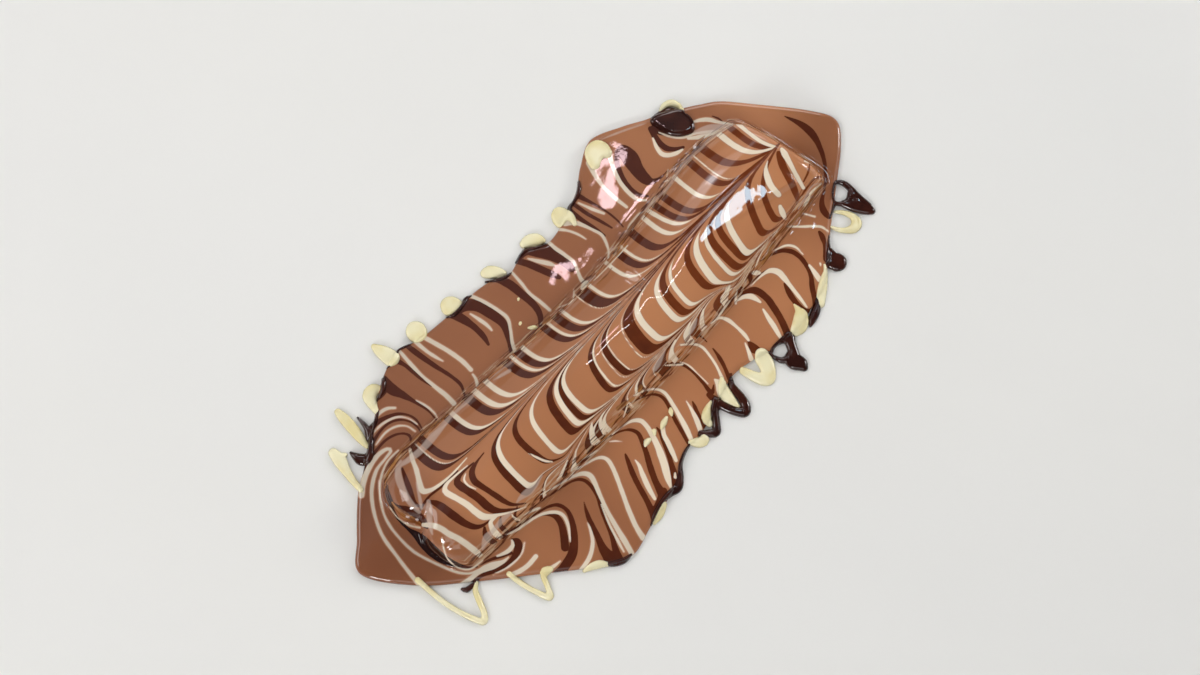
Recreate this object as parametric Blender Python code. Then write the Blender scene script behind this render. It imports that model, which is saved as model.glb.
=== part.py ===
"""A rolled crepe under a chocolate coat, lying in the pool of sauce that ran off it.

Metres, +Z up, +X along the roll. The roll's flat underside and the pool's both lie
at z = 0, and the whole footprint is centred on the origin.
"""
import bisect
import math

import bmesh
import bpy
from mathutils import Vector

MM = 0.001

# Places along and across are read from a zero on the roll, near its middle.
# This shift then puts the middle of the whole footprint on the origin.
FOOTPRINT_SHIFT = (-1.06 * MM, 4.36 * MM)

# Roll: where its two feet run, as (along, across) in mm, from the near end to the far end.
LEFT_FOOT = ((-110, 21.0), (-86, 24.2), (-42, 21.4), (10, 18.8), (45, 21.0), (80, 24.2), (114, 19.0))
RIGHT_FOOT = ((-110, -24.5), (-84, -26.4), (-45, -28.2), (0, -29.2), (42, -28.2), (80, -24.8), (114, -22.8))
CREST_HEIGHT = ((-110, 14.6), (-70, 15.8), (-20, 16.6), (30, 16.2), (80, 15.4), (114, 14.0))
SECTION_POWER = 2.2
NEAR_END = -105.2 * MM
FAR_END = 107.0 * MM
FAR_END_SKEW = -3.6 * MM
# How far the ends draw in at their corners, and how suddenly.
NEAR_CORNER = (7.0 * MM, 5)
FAR_CORNER = (3.5 * MM, 9)
NEAR_ROUNDING = 11.0 * MM
FAR_ROUNDING = 6.0 * MM
# The near end shows two lobes with a furrow between them.
FURROW_AT = 0.05
FURROW_WIDTH = 0.20
FURROW_NOTCH = 3.2 * MM
FURROW_DEPTH = 0.22
FURROW_REACH = 14.0 * MM

# Sauce pool: its edge as (along, across) in mm, clockwise from the near tip.
POOL_EDGE = (
    (-129.5, 4), (-121, 14.5), (-109, 26), (-101, 31), (-94, 35.6), (-85, 41.4), (-78, 46.2), (-70, 51.2),
    (-58, 54.8), (-50, 51.6), (-42, 50.6), (-30, 49.4), (-20, 48.8), (-12, 47), (-5, 44), (5, 46.2),
    (13, 41.8), (20, 41.9), (30, 45), (38, 48.4), (46, 53.8), (57, 58.5), (70, 53), (78, 48.4),
    (84, 45.5), (92.5, 40.4), (99, 36), (105.4, 31), (113.5, 20.6), (127, 2), (131.5, -9), (124, -18),
    (108, -29), (92, -39.8), (84, -46), (76, -50.5), (60, -54.5), (52, -54.6), (47, -53.4), (42, -52.8),
    (34, -50.2), (25, -48.6), (14, -50.6), (6, -53.5), (-2, -54.8), (-8, -54.6), (-15, -57.2), (-24, -61.5),
    (-40, -64.5), (-54, -67), (-66, -60), (-84, -45), (-101, -30.5), (-118, -14.5),
)
POOL_THICKNESS = 2.2 * MM
POOL_LIP = 2.6 * MM
# The sauce climbs a little against the roll, and that climb fades at this power of the way out.
POOL_CLIMB = 0.7 * MM
CLIMB_POWER = 6
GAP = 0.35 * MM
# The sauce spreads away from a line along the roll's middle: half its length, and where it lies across.
SPINE_HALF = 78.0 * MM
SPINE_ACROSS = -3.0 * MM

# How finely the solids are faceted.
ROLL_STEPS_ALONG = 56
ROLL_STEPS_ACROSS = 26
POOL_RINGS = (0.0, 0.10, 0.35, 0.7)
LIP_STEPS = 4
EDGE_STEPS = 6
END_CROWDING = 0.6
SHARP_ANGLE = math.radians(50)


def smooth_value(points, at):
    """Height at `at` of the smooth curve through (place, value) points, flat past its ends."""
    places = [point[0] for point in points]
    at = min(max(at, places[0]), places[-1])
    left = min(max(bisect.bisect_right(places, at) - 1, 0), len(points) - 2)
    before = points[max(left - 1, 0)]
    start = points[left]
    end = points[left + 1]
    after = points[min(left + 2, len(points) - 1)]
    width = end[0] - start[0]
    t = (at - start[0]) / width
    slope_start = (end[1] - before[1]) / (end[0] - before[0]) * width
    slope_end = (after[1] - start[1]) / (after[0] - start[0]) * width
    return (
        (2 * t**3 - 3 * t**2 + 1) * start[1]
        + (t**3 - 2 * t**2 + t) * slope_start
        + (3 * t**2 - 2 * t**3) * end[1]
        + (t**3 - t**2) * slope_end
    )


def closed_curve(points, steps_each):
    """Points of the closed Catmull-Rom curve through hand-set points, in metres."""
    curve = []
    count = len(points)
    for index in range(count):
        before, start, end, after = (Vector(points[(index + k) % count]) for k in (-1, 0, 1, 2))
        for step in range(steps_each):
            t = step / steps_each
            curve.append(0.5 * MM * (
                2 * start
                + (end - before) * t
                + (2 * before - 5 * start + 4 * end - after) * t**2
                + (3 * start - before - 3 * end + after) * t**3
            ))
    return curve


def furrow(across):
    """1 in the furrow's bottom, 0 away from it."""
    return math.exp(-((across - FURROW_AT) / FURROW_WIDTH) ** 2)


def end_fall(share):
    """A quarter round: 0 at the end itself, 1 once the rounding is passed."""
    return math.sqrt(max(1 - max(1 - share, 0) ** 2, 0))


def end_spacing(t):
    """Spreads 0..1 over -1..1 with steps that shorten towards both ends."""
    return math.sin((t - 0.5) * math.pi) * END_CROWDING + (2 * t - 1) * (1 - END_CROWDING)


def roll_point(along, across):
    """A point of the roll's top, for along and across from -1 to 1."""
    near = NEAR_END + NEAR_CORNER[0] * abs(across) ** NEAR_CORNER[1] + FURROW_NOTCH * furrow(across)
    far = FAR_END - FAR_CORNER[0] * abs(across) ** FAR_CORNER[1] + FAR_END_SKEW * across
    x = near + (far - near) * (along + 1) / 2
    left = smooth_value(LEFT_FOOT, x / MM) * MM
    right = smooth_value(RIGHT_FOOT, x / MM) * MM
    y = (left + right) / 2 + (left - right) / 2 * across
    section = math.sqrt(max(1 - abs(across) ** SECTION_POWER, 0))
    ends = end_fall((x - near) / NEAR_ROUNDING) * end_fall((far - x) / FAR_ROUNDING)
    dip = 1 - FURROW_DEPTH * furrow(across) * math.exp(-(x - near) / FURROW_REACH)
    height = smooth_value(CREST_HEIGHT, x / MM) * MM
    return Vector((x, y, height * section * ends * dip))


def new_material(name, colour, roughness):
    """A plain food finish."""
    material = bpy.data.materials.new(name)
    material.use_nodes = True
    shader = material.node_tree.nodes["Principled BSDF"]
    shader.inputs["Base Color"].default_value = (*colour, 1.0)
    shader.inputs["Roughness"].default_value = roughness
    shader.inputs["Metallic"].default_value = 0.0
    return material


def add_object(name, shape, material):
    """Turns a finished bmesh into a named object, centred with the others on the origin."""
    bmesh.ops.translate(shape, verts=shape.verts, vec=(*FOOTPRINT_SHIFT, 0.0))
    bmesh.ops.recalc_face_normals(shape, faces=shape.faces)
    mesh = bpy.data.meshes.new(name)
    shape.to_mesh(mesh)
    shape.free()
    mesh.materials.append(material)
    mesh.shade_smooth()
    mesh.set_sharp_from_angle(angle=SHARP_ANGLE)
    thing = bpy.data.objects.new(name, mesh)
    bpy.context.collection.objects.link(thing)
    return thing


def make_crepe():
    """The roll: one solid with a flat underside, its top bent from a flat grid."""
    shape = bmesh.new()
    bmesh.ops.create_grid(shape, x_segments=ROLL_STEPS_ALONG, y_segments=ROLL_STEPS_ACROSS, size=1.0)
    for vertex in shape.verts:
        along = end_spacing((vertex.co.x + 1) / 2)
        across = end_spacing((vertex.co.y + 1) / 2)
        vertex.co = roll_point(along, across)
    rim = [edge for edge in shape.edges if edge.is_boundary]
    bmesh.ops.holes_fill(shape, edges=rim, sides=0)
    return add_object("crepe", shape, new_material("chocolate_coated_crepe", (0.32, 0.13, 0.06), 0.2))


def roll_outline():
    """The roll's foot on the ground, anticlockwise, at the same steps as the solid's own rim."""
    along = [end_spacing(i / ROLL_STEPS_ALONG) for i in range(ROLL_STEPS_ALONG + 1)]
    across = [end_spacing(j / ROLL_STEPS_ACROSS) for j in range(ROLL_STEPS_ACROSS + 1)]
    walk = [(a, -1) for a in along[:-1]]
    walk += [(1, b) for b in across[:-1]]
    walk += [(a, 1) for a in reversed(along[1:])]
    walk += [(-1, b) for b in reversed(across[1:])]
    return [roll_point(a, b).xy for a, b in walk]


def spread(outline, distance):
    """The anticlockwise outline moved outwards by a distance."""
    moved = []
    count = len(outline)
    for index, point in enumerate(outline):
        chord = outline[(index + 1) % count] - outline[index - 1]
        moved.append(point + Vector((chord.y, -chord.x)).normalized() * distance)
    return moved


def reach(outline, start, direction):
    """How far a ray runs from start before it meets the closed outline."""
    across = Vector((-direction.y, direction.x))
    longest = 0.0
    for index, point in enumerate(outline):
        previous = outline[index - 1]
        side_a = (previous - start).dot(across)
        side_b = (point - start).dot(across)
        if side_a * side_b > 0 or side_a == side_b:
            continue
        share = side_a / (side_a - side_b)
        longest = max(longest, (previous.lerp(point, share) - start).dot(direction))
    return longest


def pool_profile():
    """The ring's cut as (share of the way out, height, distance kept from the edge)."""
    profile = []
    for share in POOL_RINGS:
        climb = POOL_CLIMB * (1 - share) ** CLIMB_POWER
        profile.append((share, POOL_THICKNESS + climb, POOL_LIP))
    for step in range(1, LIP_STEPS + 1):
        angle = math.pi / 2 * step / LIP_STEPS
        profile.append((1.0, POOL_THICKNESS * math.cos(angle), POOL_LIP * (1 - math.sin(angle))))
    return profile


def make_sauce_pool():
    """The pool: a ring that starts a hair outside the roll's foot and thins out to a round lip."""
    edge = closed_curve(POOL_EDGE, EDGE_STEPS)
    inner = spread(roll_outline(), GAP)
    shape = bmesh.new()
    columns = []
    for point in inner:
        anchor = Vector((min(max(point.x, -SPINE_HALF), SPINE_HALF), SPINE_ACROSS))
        direction = (point - anchor).normalized()
        full = reach(edge, anchor, direction) - (point - anchor).length
        column = [shape.verts.new((*point, 0.0))]
        for share, height, kept in pool_profile():
            place = point + direction * (full - kept) * share
            column.append(shape.verts.new((*place, height)))
        columns.append(column)
    for index, column in enumerate(columns):
        previous = columns[index - 1]
        for step in range(len(column)):
            shape.faces.new((previous[step - 1], previous[step], column[step], column[step - 1]))
    return add_object("sauce_pool", shape, new_material("chocolate_sauce", (0.27, 0.12, 0.07), 0.15))


def main():
    for thing in list(bpy.data.objects):
        bpy.data.objects.remove(thing, do_unlink=True)
    make_crepe()
    make_sauce_pool()


main()
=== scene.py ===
"""A rolled crepe under milk chocolate marbled with white and dark, in the pool of its own sauce.

Places are read in millimetres as (along, across) from a zero on the roll near its middle:
along runs with the roll to its far end, across runs to its left flank.
"""
import math

import bmesh
import bpy
import numpy as np
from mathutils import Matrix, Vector


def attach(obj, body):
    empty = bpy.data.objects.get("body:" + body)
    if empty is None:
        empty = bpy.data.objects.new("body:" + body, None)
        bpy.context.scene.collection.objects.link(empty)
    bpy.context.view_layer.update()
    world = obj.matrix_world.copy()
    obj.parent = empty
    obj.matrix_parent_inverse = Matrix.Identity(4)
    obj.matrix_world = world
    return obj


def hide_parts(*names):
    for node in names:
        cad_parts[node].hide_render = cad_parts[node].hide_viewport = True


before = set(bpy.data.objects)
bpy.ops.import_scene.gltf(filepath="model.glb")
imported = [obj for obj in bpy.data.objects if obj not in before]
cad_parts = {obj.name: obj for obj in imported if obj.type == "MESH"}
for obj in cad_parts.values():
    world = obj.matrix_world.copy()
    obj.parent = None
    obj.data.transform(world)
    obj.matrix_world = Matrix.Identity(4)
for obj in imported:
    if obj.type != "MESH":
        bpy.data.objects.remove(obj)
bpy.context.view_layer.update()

MM = 0.001
# This shift puts the middle of the whole footprint on the origin.
FOOTPRINT_SHIFT = np.array((-1.06, 4.36))
# The marbling was read by an eye at this place above the food, so it is laid on from there.
EYE = np.array((-72.4, -67.5, 509.5))

# ---------------------------------------------------------------- shape of the roll
# Where its two feet run and how high its crest lies, from the near end to the far end.
LEFT_FOOT = ((-110, 21.0), (-86, 24.2), (-42, 21.4), (10, 18.8), (45, 21.0), (80, 24.2), (114, 19.0))
RIGHT_FOOT = ((-110, -24.5), (-84, -26.4), (-45, -28.2), (0, -29.2), (42, -28.2), (80, -24.8), (114, -22.8))
CREST_HEIGHT = ((-110, 14.6), (-70, 15.8), (-20, 16.6), (30, 16.2), (80, 15.4), (114, 14.0))
SECTION_POWER = 2.2
NEAR_END = -105.2
FAR_END = 107.0
FAR_END_SKEW = -3.6
# How far the ends draw in at their corners, and how suddenly.
NEAR_CORNER = (7.0, 5)
FAR_CORNER = (3.5, 9)
NEAR_ROUNDING = 11.0
FAR_ROUNDING = 6.0
# The near end shows two lobes with a furrow between them.
FURROW_AT = 0.05
FURROW_WIDTH = 0.20
FURROW_NOTCH = 3.2
FURROW_DEPTH = 0.22
FURROW_REACH = 14.0

# How far the crest has slid sideways in places, as (along, share of the half width).
CREST_SLIDE = ((-104, 0.0), (-60, 0.0), (-20, -0.015), (-14, -0.03), (-8, -0.045), (3, -0.04), (10, -0.06),
               (16, -0.034), (21.5, -0.01), (26, -0.2), (32, -0.155), (41, -0.1), (49, -0.06), (56, -0.065),
               (107, 0.0))
# The far part of the right shoulder has slumped flat: (from, to) along and across at its start, how fast
# it widens, and the width of its border.
SLUMP_ALONG = (58.0, 95.0)
SLUMP_ACROSS = (-5.2, -3.6)
SLUMP_SLANT = (0.24, 0.06)
SLUMP_BORDER = 2.4
# Two ripples on that shoulder, as (height, size of a hump, seed).
SLUMP_RIPPLES = ((0.008, 5, 21), (0.0055, 2.6, 22))

COAT_STEPS_ALONG = 420
COAT_STEPS_ACROSS = 216
# How much closer the coat's rows stand at its two ends.
END_CROWDING = 0.35
# How far the coat swells, less so at its crest and low down, how deep and wide its two comb lines are, and
# how high its wrinkles stand.
UNEVENNESS = 0.13
SWELL_SIZE = 30
CALM_CREST = 0.7
FULL_LIFT_HEIGHT = 4.0
GROOVE_DEPTH = 0.35
CREST_GROOVE = 1.1
FLANK_GROOVE = 1.2
WRINKLE_HEIGHT = 0.28
# The wrinkled creases at the coat's two feet and at the pool's inner edge: how wide they are.
LEFT_CREASE = 2.8
RIGHT_CREASE = 3.4
POOL_CREASE = 1.8

# ---------------------------------------------------------------- shape of the pool
POOL_EDGE = (
    (-129.5, 4), (-121, 14.5), (-109, 26), (-101, 31), (-94, 35.6), (-85, 41.4), (-78, 46.2), (-70, 51.2),
    (-58, 54.8), (-50, 51.6), (-42, 50.6), (-30, 49.4), (-20, 48.8), (-12, 47), (-5, 44), (5, 46.2),
    (13, 41.8), (20, 41.9), (30, 45), (38, 48.4), (46, 53.8), (57, 58.5), (70, 53), (78, 48.4),
    (84, 45.5), (92.5, 40.4), (99, 36), (105.4, 31), (113.5, 20.6), (127, 2), (131.5, -9), (124, -18),
    (108, -29), (92, -39.8), (84, -46), (76, -50.5), (60, -54.5), (52, -54.6), (47, -53.4), (42, -52.8),
    (34, -50.2), (25, -48.6), (14, -50.6), (6, -53.5), (-2, -54.8), (-8, -54.6), (-15, -57.2), (-24, -61.5),
    (-40, -64.5), (-54, -67), (-66, -60), (-84, -45), (-101, -30.5), (-118, -14.5),
)
POOL_THICKNESS = 2.2
POOL_LIP = 2.6
# The sauce climbs a little against the roll, and its inner edge lies hidden under the coat.
POOL_CLIMB = 0.7
CLIMB_REACH = 1.4
TUCK_UNDER_COAT = 0.9
# How far its surface swells, which is less on the left and past this place at the far end.
POOL_SWELL = 0.03
QUIET_SWELL = 0.007
QUIET_END = 100
# The sauce spreads away from a line along the roll's middle: half its length, and where it lies across.
SPINE_HALF = 78.0
SPINE_ACROSS = -3.0
POOL_STEPS_AROUND = 1320
POOL_STEPS_OUT = 62
LIP_STEPS = 5
UNDERSIDE_STEPS = 3

# ---------------------------------------------------------------- lines the comb was drawn along
CREST_LINE = (
    (-104, -1.5), (-100, -0.6), (-96, 2.0), (-91, 3.8), (-80, 4.8), (-60, 5.2), (-45, 4.9), (-25, 4.4),
    (0, 3.4), (25, 2.8), (60, 3.1), (85, 2.6), (107, 1.8),
)
FLANK_LINE = (
    (-104, -12), (-92, -14.5), (-86, -16.8), (-80, -18), (-75, -20.3), (-70, -23), (-65, -24.6),
    (-60, -23.2), (-55, -21.6), (-50, -22), (-44, -23), (-38, -22), (-28, -20.7), (-10, -21), (10, -21.4),
    (30, -21.4), (40, -20.8), (47, -22), (53, -24.6), (60, -24.2), (68, -22.8), (76, -22.3), (85, -22.2),
    (92, -21), (98, -18.8), (104, -17.4), (110, -18),
)

# How much the dark strokes take over where all strokes are drawn out along the crest: by place along, and
# by how many mm the white ones then shrink and the dark ones grow.
FAN_DARKNESS = ((-105, 0.0), (-60, 0.1), (30, 0.2), (58, 1.0), (92, 1.0), (104, 0.3))
FAN_WIDTH = 3
WHITE_SHRINKS = 0.55
DARK_GROWS = 0.3

# Strokes of the left flank: colour, place along at LEFT_READ across, width, lean.
LEFT_READ = 15.0
LEFT_STROKES = (
    ("dark", -81.1, 3.7, 0.04), ("white", -79.3, 0.6, 0.02), ("dark", -76.2, 3.1, 0),
    ("dark", -63.3, 2.9, 0), ("white", -60.8, 1.9, 0), ("dark", -52.2, 3.6, 0), ("white", -48.5, 2.3, 0),
    ("white", -42.8, 2.2, 0), ("dark", -31.9, 3.3, 0), ("white", -29.0, 1.3, 0), ("dark", -25.9, 2.9, 0),
    ("white", -23.3, 1.8, 0), ("dark", -11.8, 3.0, 0), ("white", -9.5, 1.2, 0), ("dark", -5.5, 3.5, 0),
    ("white", -2.2, 1.5, 0), ("white", 6.2, 0.5, 0), ("dark", 9.0, 5.1, 0), ("white", 12.8, 1.4, 0),
    ("white", 24.1, 1.6, 0), ("dark", 30.2, 3.2, 0), ("white", 33.0, 1.2, 0), ("dark", 40.2, 3.5, 0),
    ("white", 48.0, 2.0, 0), ("white", 52.5, 1.8, -0.15), ("dark", 55.6, 2.8, -0.1),
    ("dark", 60.3, 3.2, -0.05), ("white", 69.0, 1.9, 0), ("dark", 77.8, 3.2, 0), ("white", 80.9, 0.6, 0),
    ("dark", 86.5, 3.6, 0), ("white", 95.1, 2.5, 0), ("dark", 100.0, 2.7, 0), ("white", 103.2, 1.6, 0),
)
# Strokes of the right flank: colour, place along at RIGHT_READ across, width, lean.
RIGHT_READ = -10.0
RIGHT_STROKES = (
    ("dark", -64.0, 3.2, 0.02), ("white", -61.6, 2.2, 0), ("dark", -51.2, 2.6, -0.12),
    ("white", -43.8, 2.0, 0.06), ("dark", -34.0, 3.4, 0.1), ("white", -30.3, 2.3, 0.1),
    ("dark", -27.8, 2.6, 0.04), ("white", -25.1, 2.1, -0.04), ("dark", -11.8, 2.7, 0.15),
    ("white", -9.8, 0.9, 0.1), ("white", -5.3, 0.5, 0.05), ("dark", -3.3, 2.8, 0), ("white", -1.5, 0.6, 0),
    ("white", 6.1, 0.5, 0.1), ("dark", 10.1, 5.7, 0.05), ("white", 15.6, 2.7, 0),
    ("white", 26.6, 2.6, 0.06), ("dark", 30.4, 3.4, 0.04), ("white", 34.7, 1.9, 0.05),
    ("dark", 44.7, 3.3, 0.08), ("white", 49.4, 3.1, 0.17), ("white", 55.6, 1.8, 0.1),
    ("dark", 58.5, 3.2, 0.03), ("dark", 63.4, 3.1, 0.06), ("white", 67.4, 2.7, 0.25),
    ("dark", 79.2, 3.3, 0.45), ("dark", 86.8, 2.9, 0.36),
)
# How far a comb line drags a stroke along, as (length, distance over which it fades).
LEFT_DRAG = ((30.0, 1.0), (11.0, 3.6))
RIGHT_DRAG = ((30.0, 1.0), (14.0, 3.8))
FLANK_DRAG = (22.0, 1.1)
# No stroke is dragged along past this limit. Those that start beyond FAR_END_STROKES all reach it.
DRAG_LIMIT = 106.5
FAR_END_STROKES = 82.0
FAR_END_FADE = 4.3
# Near that limit the comb drags less: over this far from it at the crest line, and at the flank line.
CREST_EASING = 45
FLANK_EASING = 22
# How far the strokes have slipped along below the flank line.
FOOT_SLIP = ((-110, 1.0), (-30, 0.6), (10, -1.4), (45, -3.0), (110, -3.0))

# Strokes with a path of their own on the roll's two ends: (along, across, width).
END_STROKES = (
    ("dark", ((-90, 20.7, 1.0), (-92.6, 15.6, 2.2), (-94.7, 11.6, 2.4), (-96.2, 8, 1.9), (-95.6, 5, 0.6))),
    ("white", ((-82.6, 23.8, 1.2), (-84.6, 20.6, 1.6), (-86.8, 16, 1.8), (-89.3, 12, 2.0), (-90.7, 9, 2.2),
        (-88.6, 7, 1.6), (-84.4, 5.8, 1.1), (-78, 5.2, 0.8), (-70, 5.4, 0.4))),
    ("dark", ((-97, 4.4, 0.8), (-91, 5.6, 1.0), (-84, 4.8, 0.9), (-76, 4.5, 0.6))),
    ("white", ((-99.8, -0.3, 1.6), (-97.4, -3.4, 2.1), (-96.2, -6.5, 2.2), (-95.6, -10, 2.2),
        (-94.4, -14, 2.2), (-93.7, -18.5, 2.3), (-93.3, -23, 2.2), (-93.2, -25.6, 1.6))),
    ("dark", ((-91.8, 4.2, 1.2), (-90.7, 2, 2.4), (-90, -1, 3.0), (-89.4, -6.3, 3.2), (-88.5, -11.6, 2.8),
        (-87, -15.2, 2.1), (-84.6, -17.1, 1.2), (-80.5, -17.9, 0.5))),
    ("white", ((-72, 3.1, 0.4), (-77.7, 3.8, 0.8), (-82, 4.1, 1.3), (-84.3, 3.3, 1.9), (-84.9, 1.6, 2.4),
        (-83.8, -2.7, 2.2), (-82.8, -7.4, 2.4), (-82.5, -12, 2.6), (-81.9, -14.9, 2.6), (-80, -17, 1.9),
        (-77.8, -18.5, 1.2), (-73.4, -21.6, 0.7), (-68, -24.4, 0.4))),
    ("dark", ((-69.5, 2.1, 0.5), (-75.5, 2.6, 1.2), (-79, 1.8, 2.6), (-79.4, -0.4, 3.2), (-78.8, -3.8, 3.1),
        (-78, -9.1, 3.2), (-77.9, -13.4, 3.2), (-77, -16.8, 2.6), (-74.6, -19.4, 1.4), (-70, -23, 0.6))),
    ("white", ((-74.6, 1.4, 0.4), (-76.8, 0.2, 0.9), (-77.2, -2.7, 0.8), (-76.2, -5.6, 0.5))),
    ("dark", ((-64, 1.9, 0.5), (-68.5, 1.4, 1.0), (-72.4, 0.2, 2.4), (-74.3, -2.7, 2.6), (-74, -6.3, 2.3),
        (-73.3, -9.9, 2.1), (-72.7, -13.4, 2.2), (-72.1, -17, 2.0), (-70.6, -20.4, 1.2),
        (-67, -23.4, 0.5))),
    ("white", ((-78, -18.6, 0.8), (-81.2, -18.4, 1.4), (-82.6, -20.2, 2.0), (-83.2, -22.7, 2.5),
        (-83, -25.4, 2.0))),
    ("dark", ((-84.6, -18.3, 1.0), (-86.2, -20.3, 2.2), (-86.5, -23, 2.4), (-85.8, -25.5, 1.6))),
    ("dark", ((-77.4, -20, 0.6), (-79.8, -22.2, 1.8), (-79.9, -25, 2.0))),
    ("dark", ((-70.4, -22, 0.6), (-73.4, -23.6, 1.2), (-74.2, -25.8, 1.4))),
    ("white", ((-52.3, -11, 0.4), (-51.3, -14.5, 0.9), (-50.2, -17.5, 0.9), (-48.4, -20, 0.5))),
    ("white", ((88.7, -16.4, 1.4), (87.5, -18.6, 2.4), (86.4, -21, 1.5))),
    ("white", ((99.6, 0, 0.9), (96.6, -1.6, 1.8), (94.2, -4.6, 2.6), (92.6, -8, 2.5), (91.9, -12.7, 2.2))),
    ("dark", ((105.2, -0.9, 1.6), (104.2, -2.6, 2.8), (102.4, -5.5, 3.2), (100.4, -10, 3.0),
        (98.8, -14, 3.0), (97, -17.4, 2.6), (95.4, -19.6, 1.2))),
    ("white", ((107.2, -0.8, 1.6), (106.6, -2.8, 2.6), (105.6, -5.6, 2.3), (103.9, -10, 1.8),
        (102, -15, 1.6), (101, -18, 1.4))),
    ("dark", ((103, -16.4, 0.6), (107, -15.2, 0.9), (110, -13.4, 0.6))),
    ("white", ((93.5, -24, 0.6), (97, -22.8, 1.2), (102, -21.6, 0.9), (108, -22.4, 0.6))),
    ("dark", ((94, -20.5, 0.6), (101, -19.2, 0.9), (107, -18.8, 0.9), (109.5, -20.5, 0.6))),
    ("white", ((109.8, -11, 0.7), (111.3, -15, 0.9), (111.6, -18.5, 0.9), (110, -22, 0.7),
        (105, -24.6, 0.5))),
)

# Strokes that lie over the foot itself, on the coat and on the pool: (along, across, width).
FOOT_STROKES_AND_SHADOW = (
    # The first dark ribbon, round the near end's foot, is painted shadow under the lobes over some dark
    # chocolate.
    ("dark", ((-84, 25.6, 0.5), (-91, 25, 0.6), (-97, 22.4, 0.9), (-101, 18.4, 1.2), (-103.4, 13, 1.2),
        (-104.8, 8, 1.0), (-104.9, 3, 1.3), (-104.4, -1, 2.8), (-104.4, -5, 4.2), (-104.5, -10, 4.4),
        (-103.9, -15, 3.6), (-102.3, -19.5, 2.2), (-99.8, -24, 1.0), (-97, -26.6, 0.5))),
    ("dark", ((-101.8, 15.4, 0.6), (-101.8, 12, 1.6), (-100.4, 8, 3.6), (-99.4, 4, 4.4), (-99.2, 0.6, 3.4),
        (-99.6, -2.4, 0.8))),
    ("browned", ((-102, 14.4, 0.5), (-102.4, 11, 1.6), (-101.9, 7, 2.4), (-101.2, 3.4, 2.2),
        (-100.4, 0.6, 1.0))),
    ("white", ((-27.6, -30.8, 0.3), (-26, -32.2, 0.6), (-24.3, -34.3, 0.3))),
)
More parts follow.
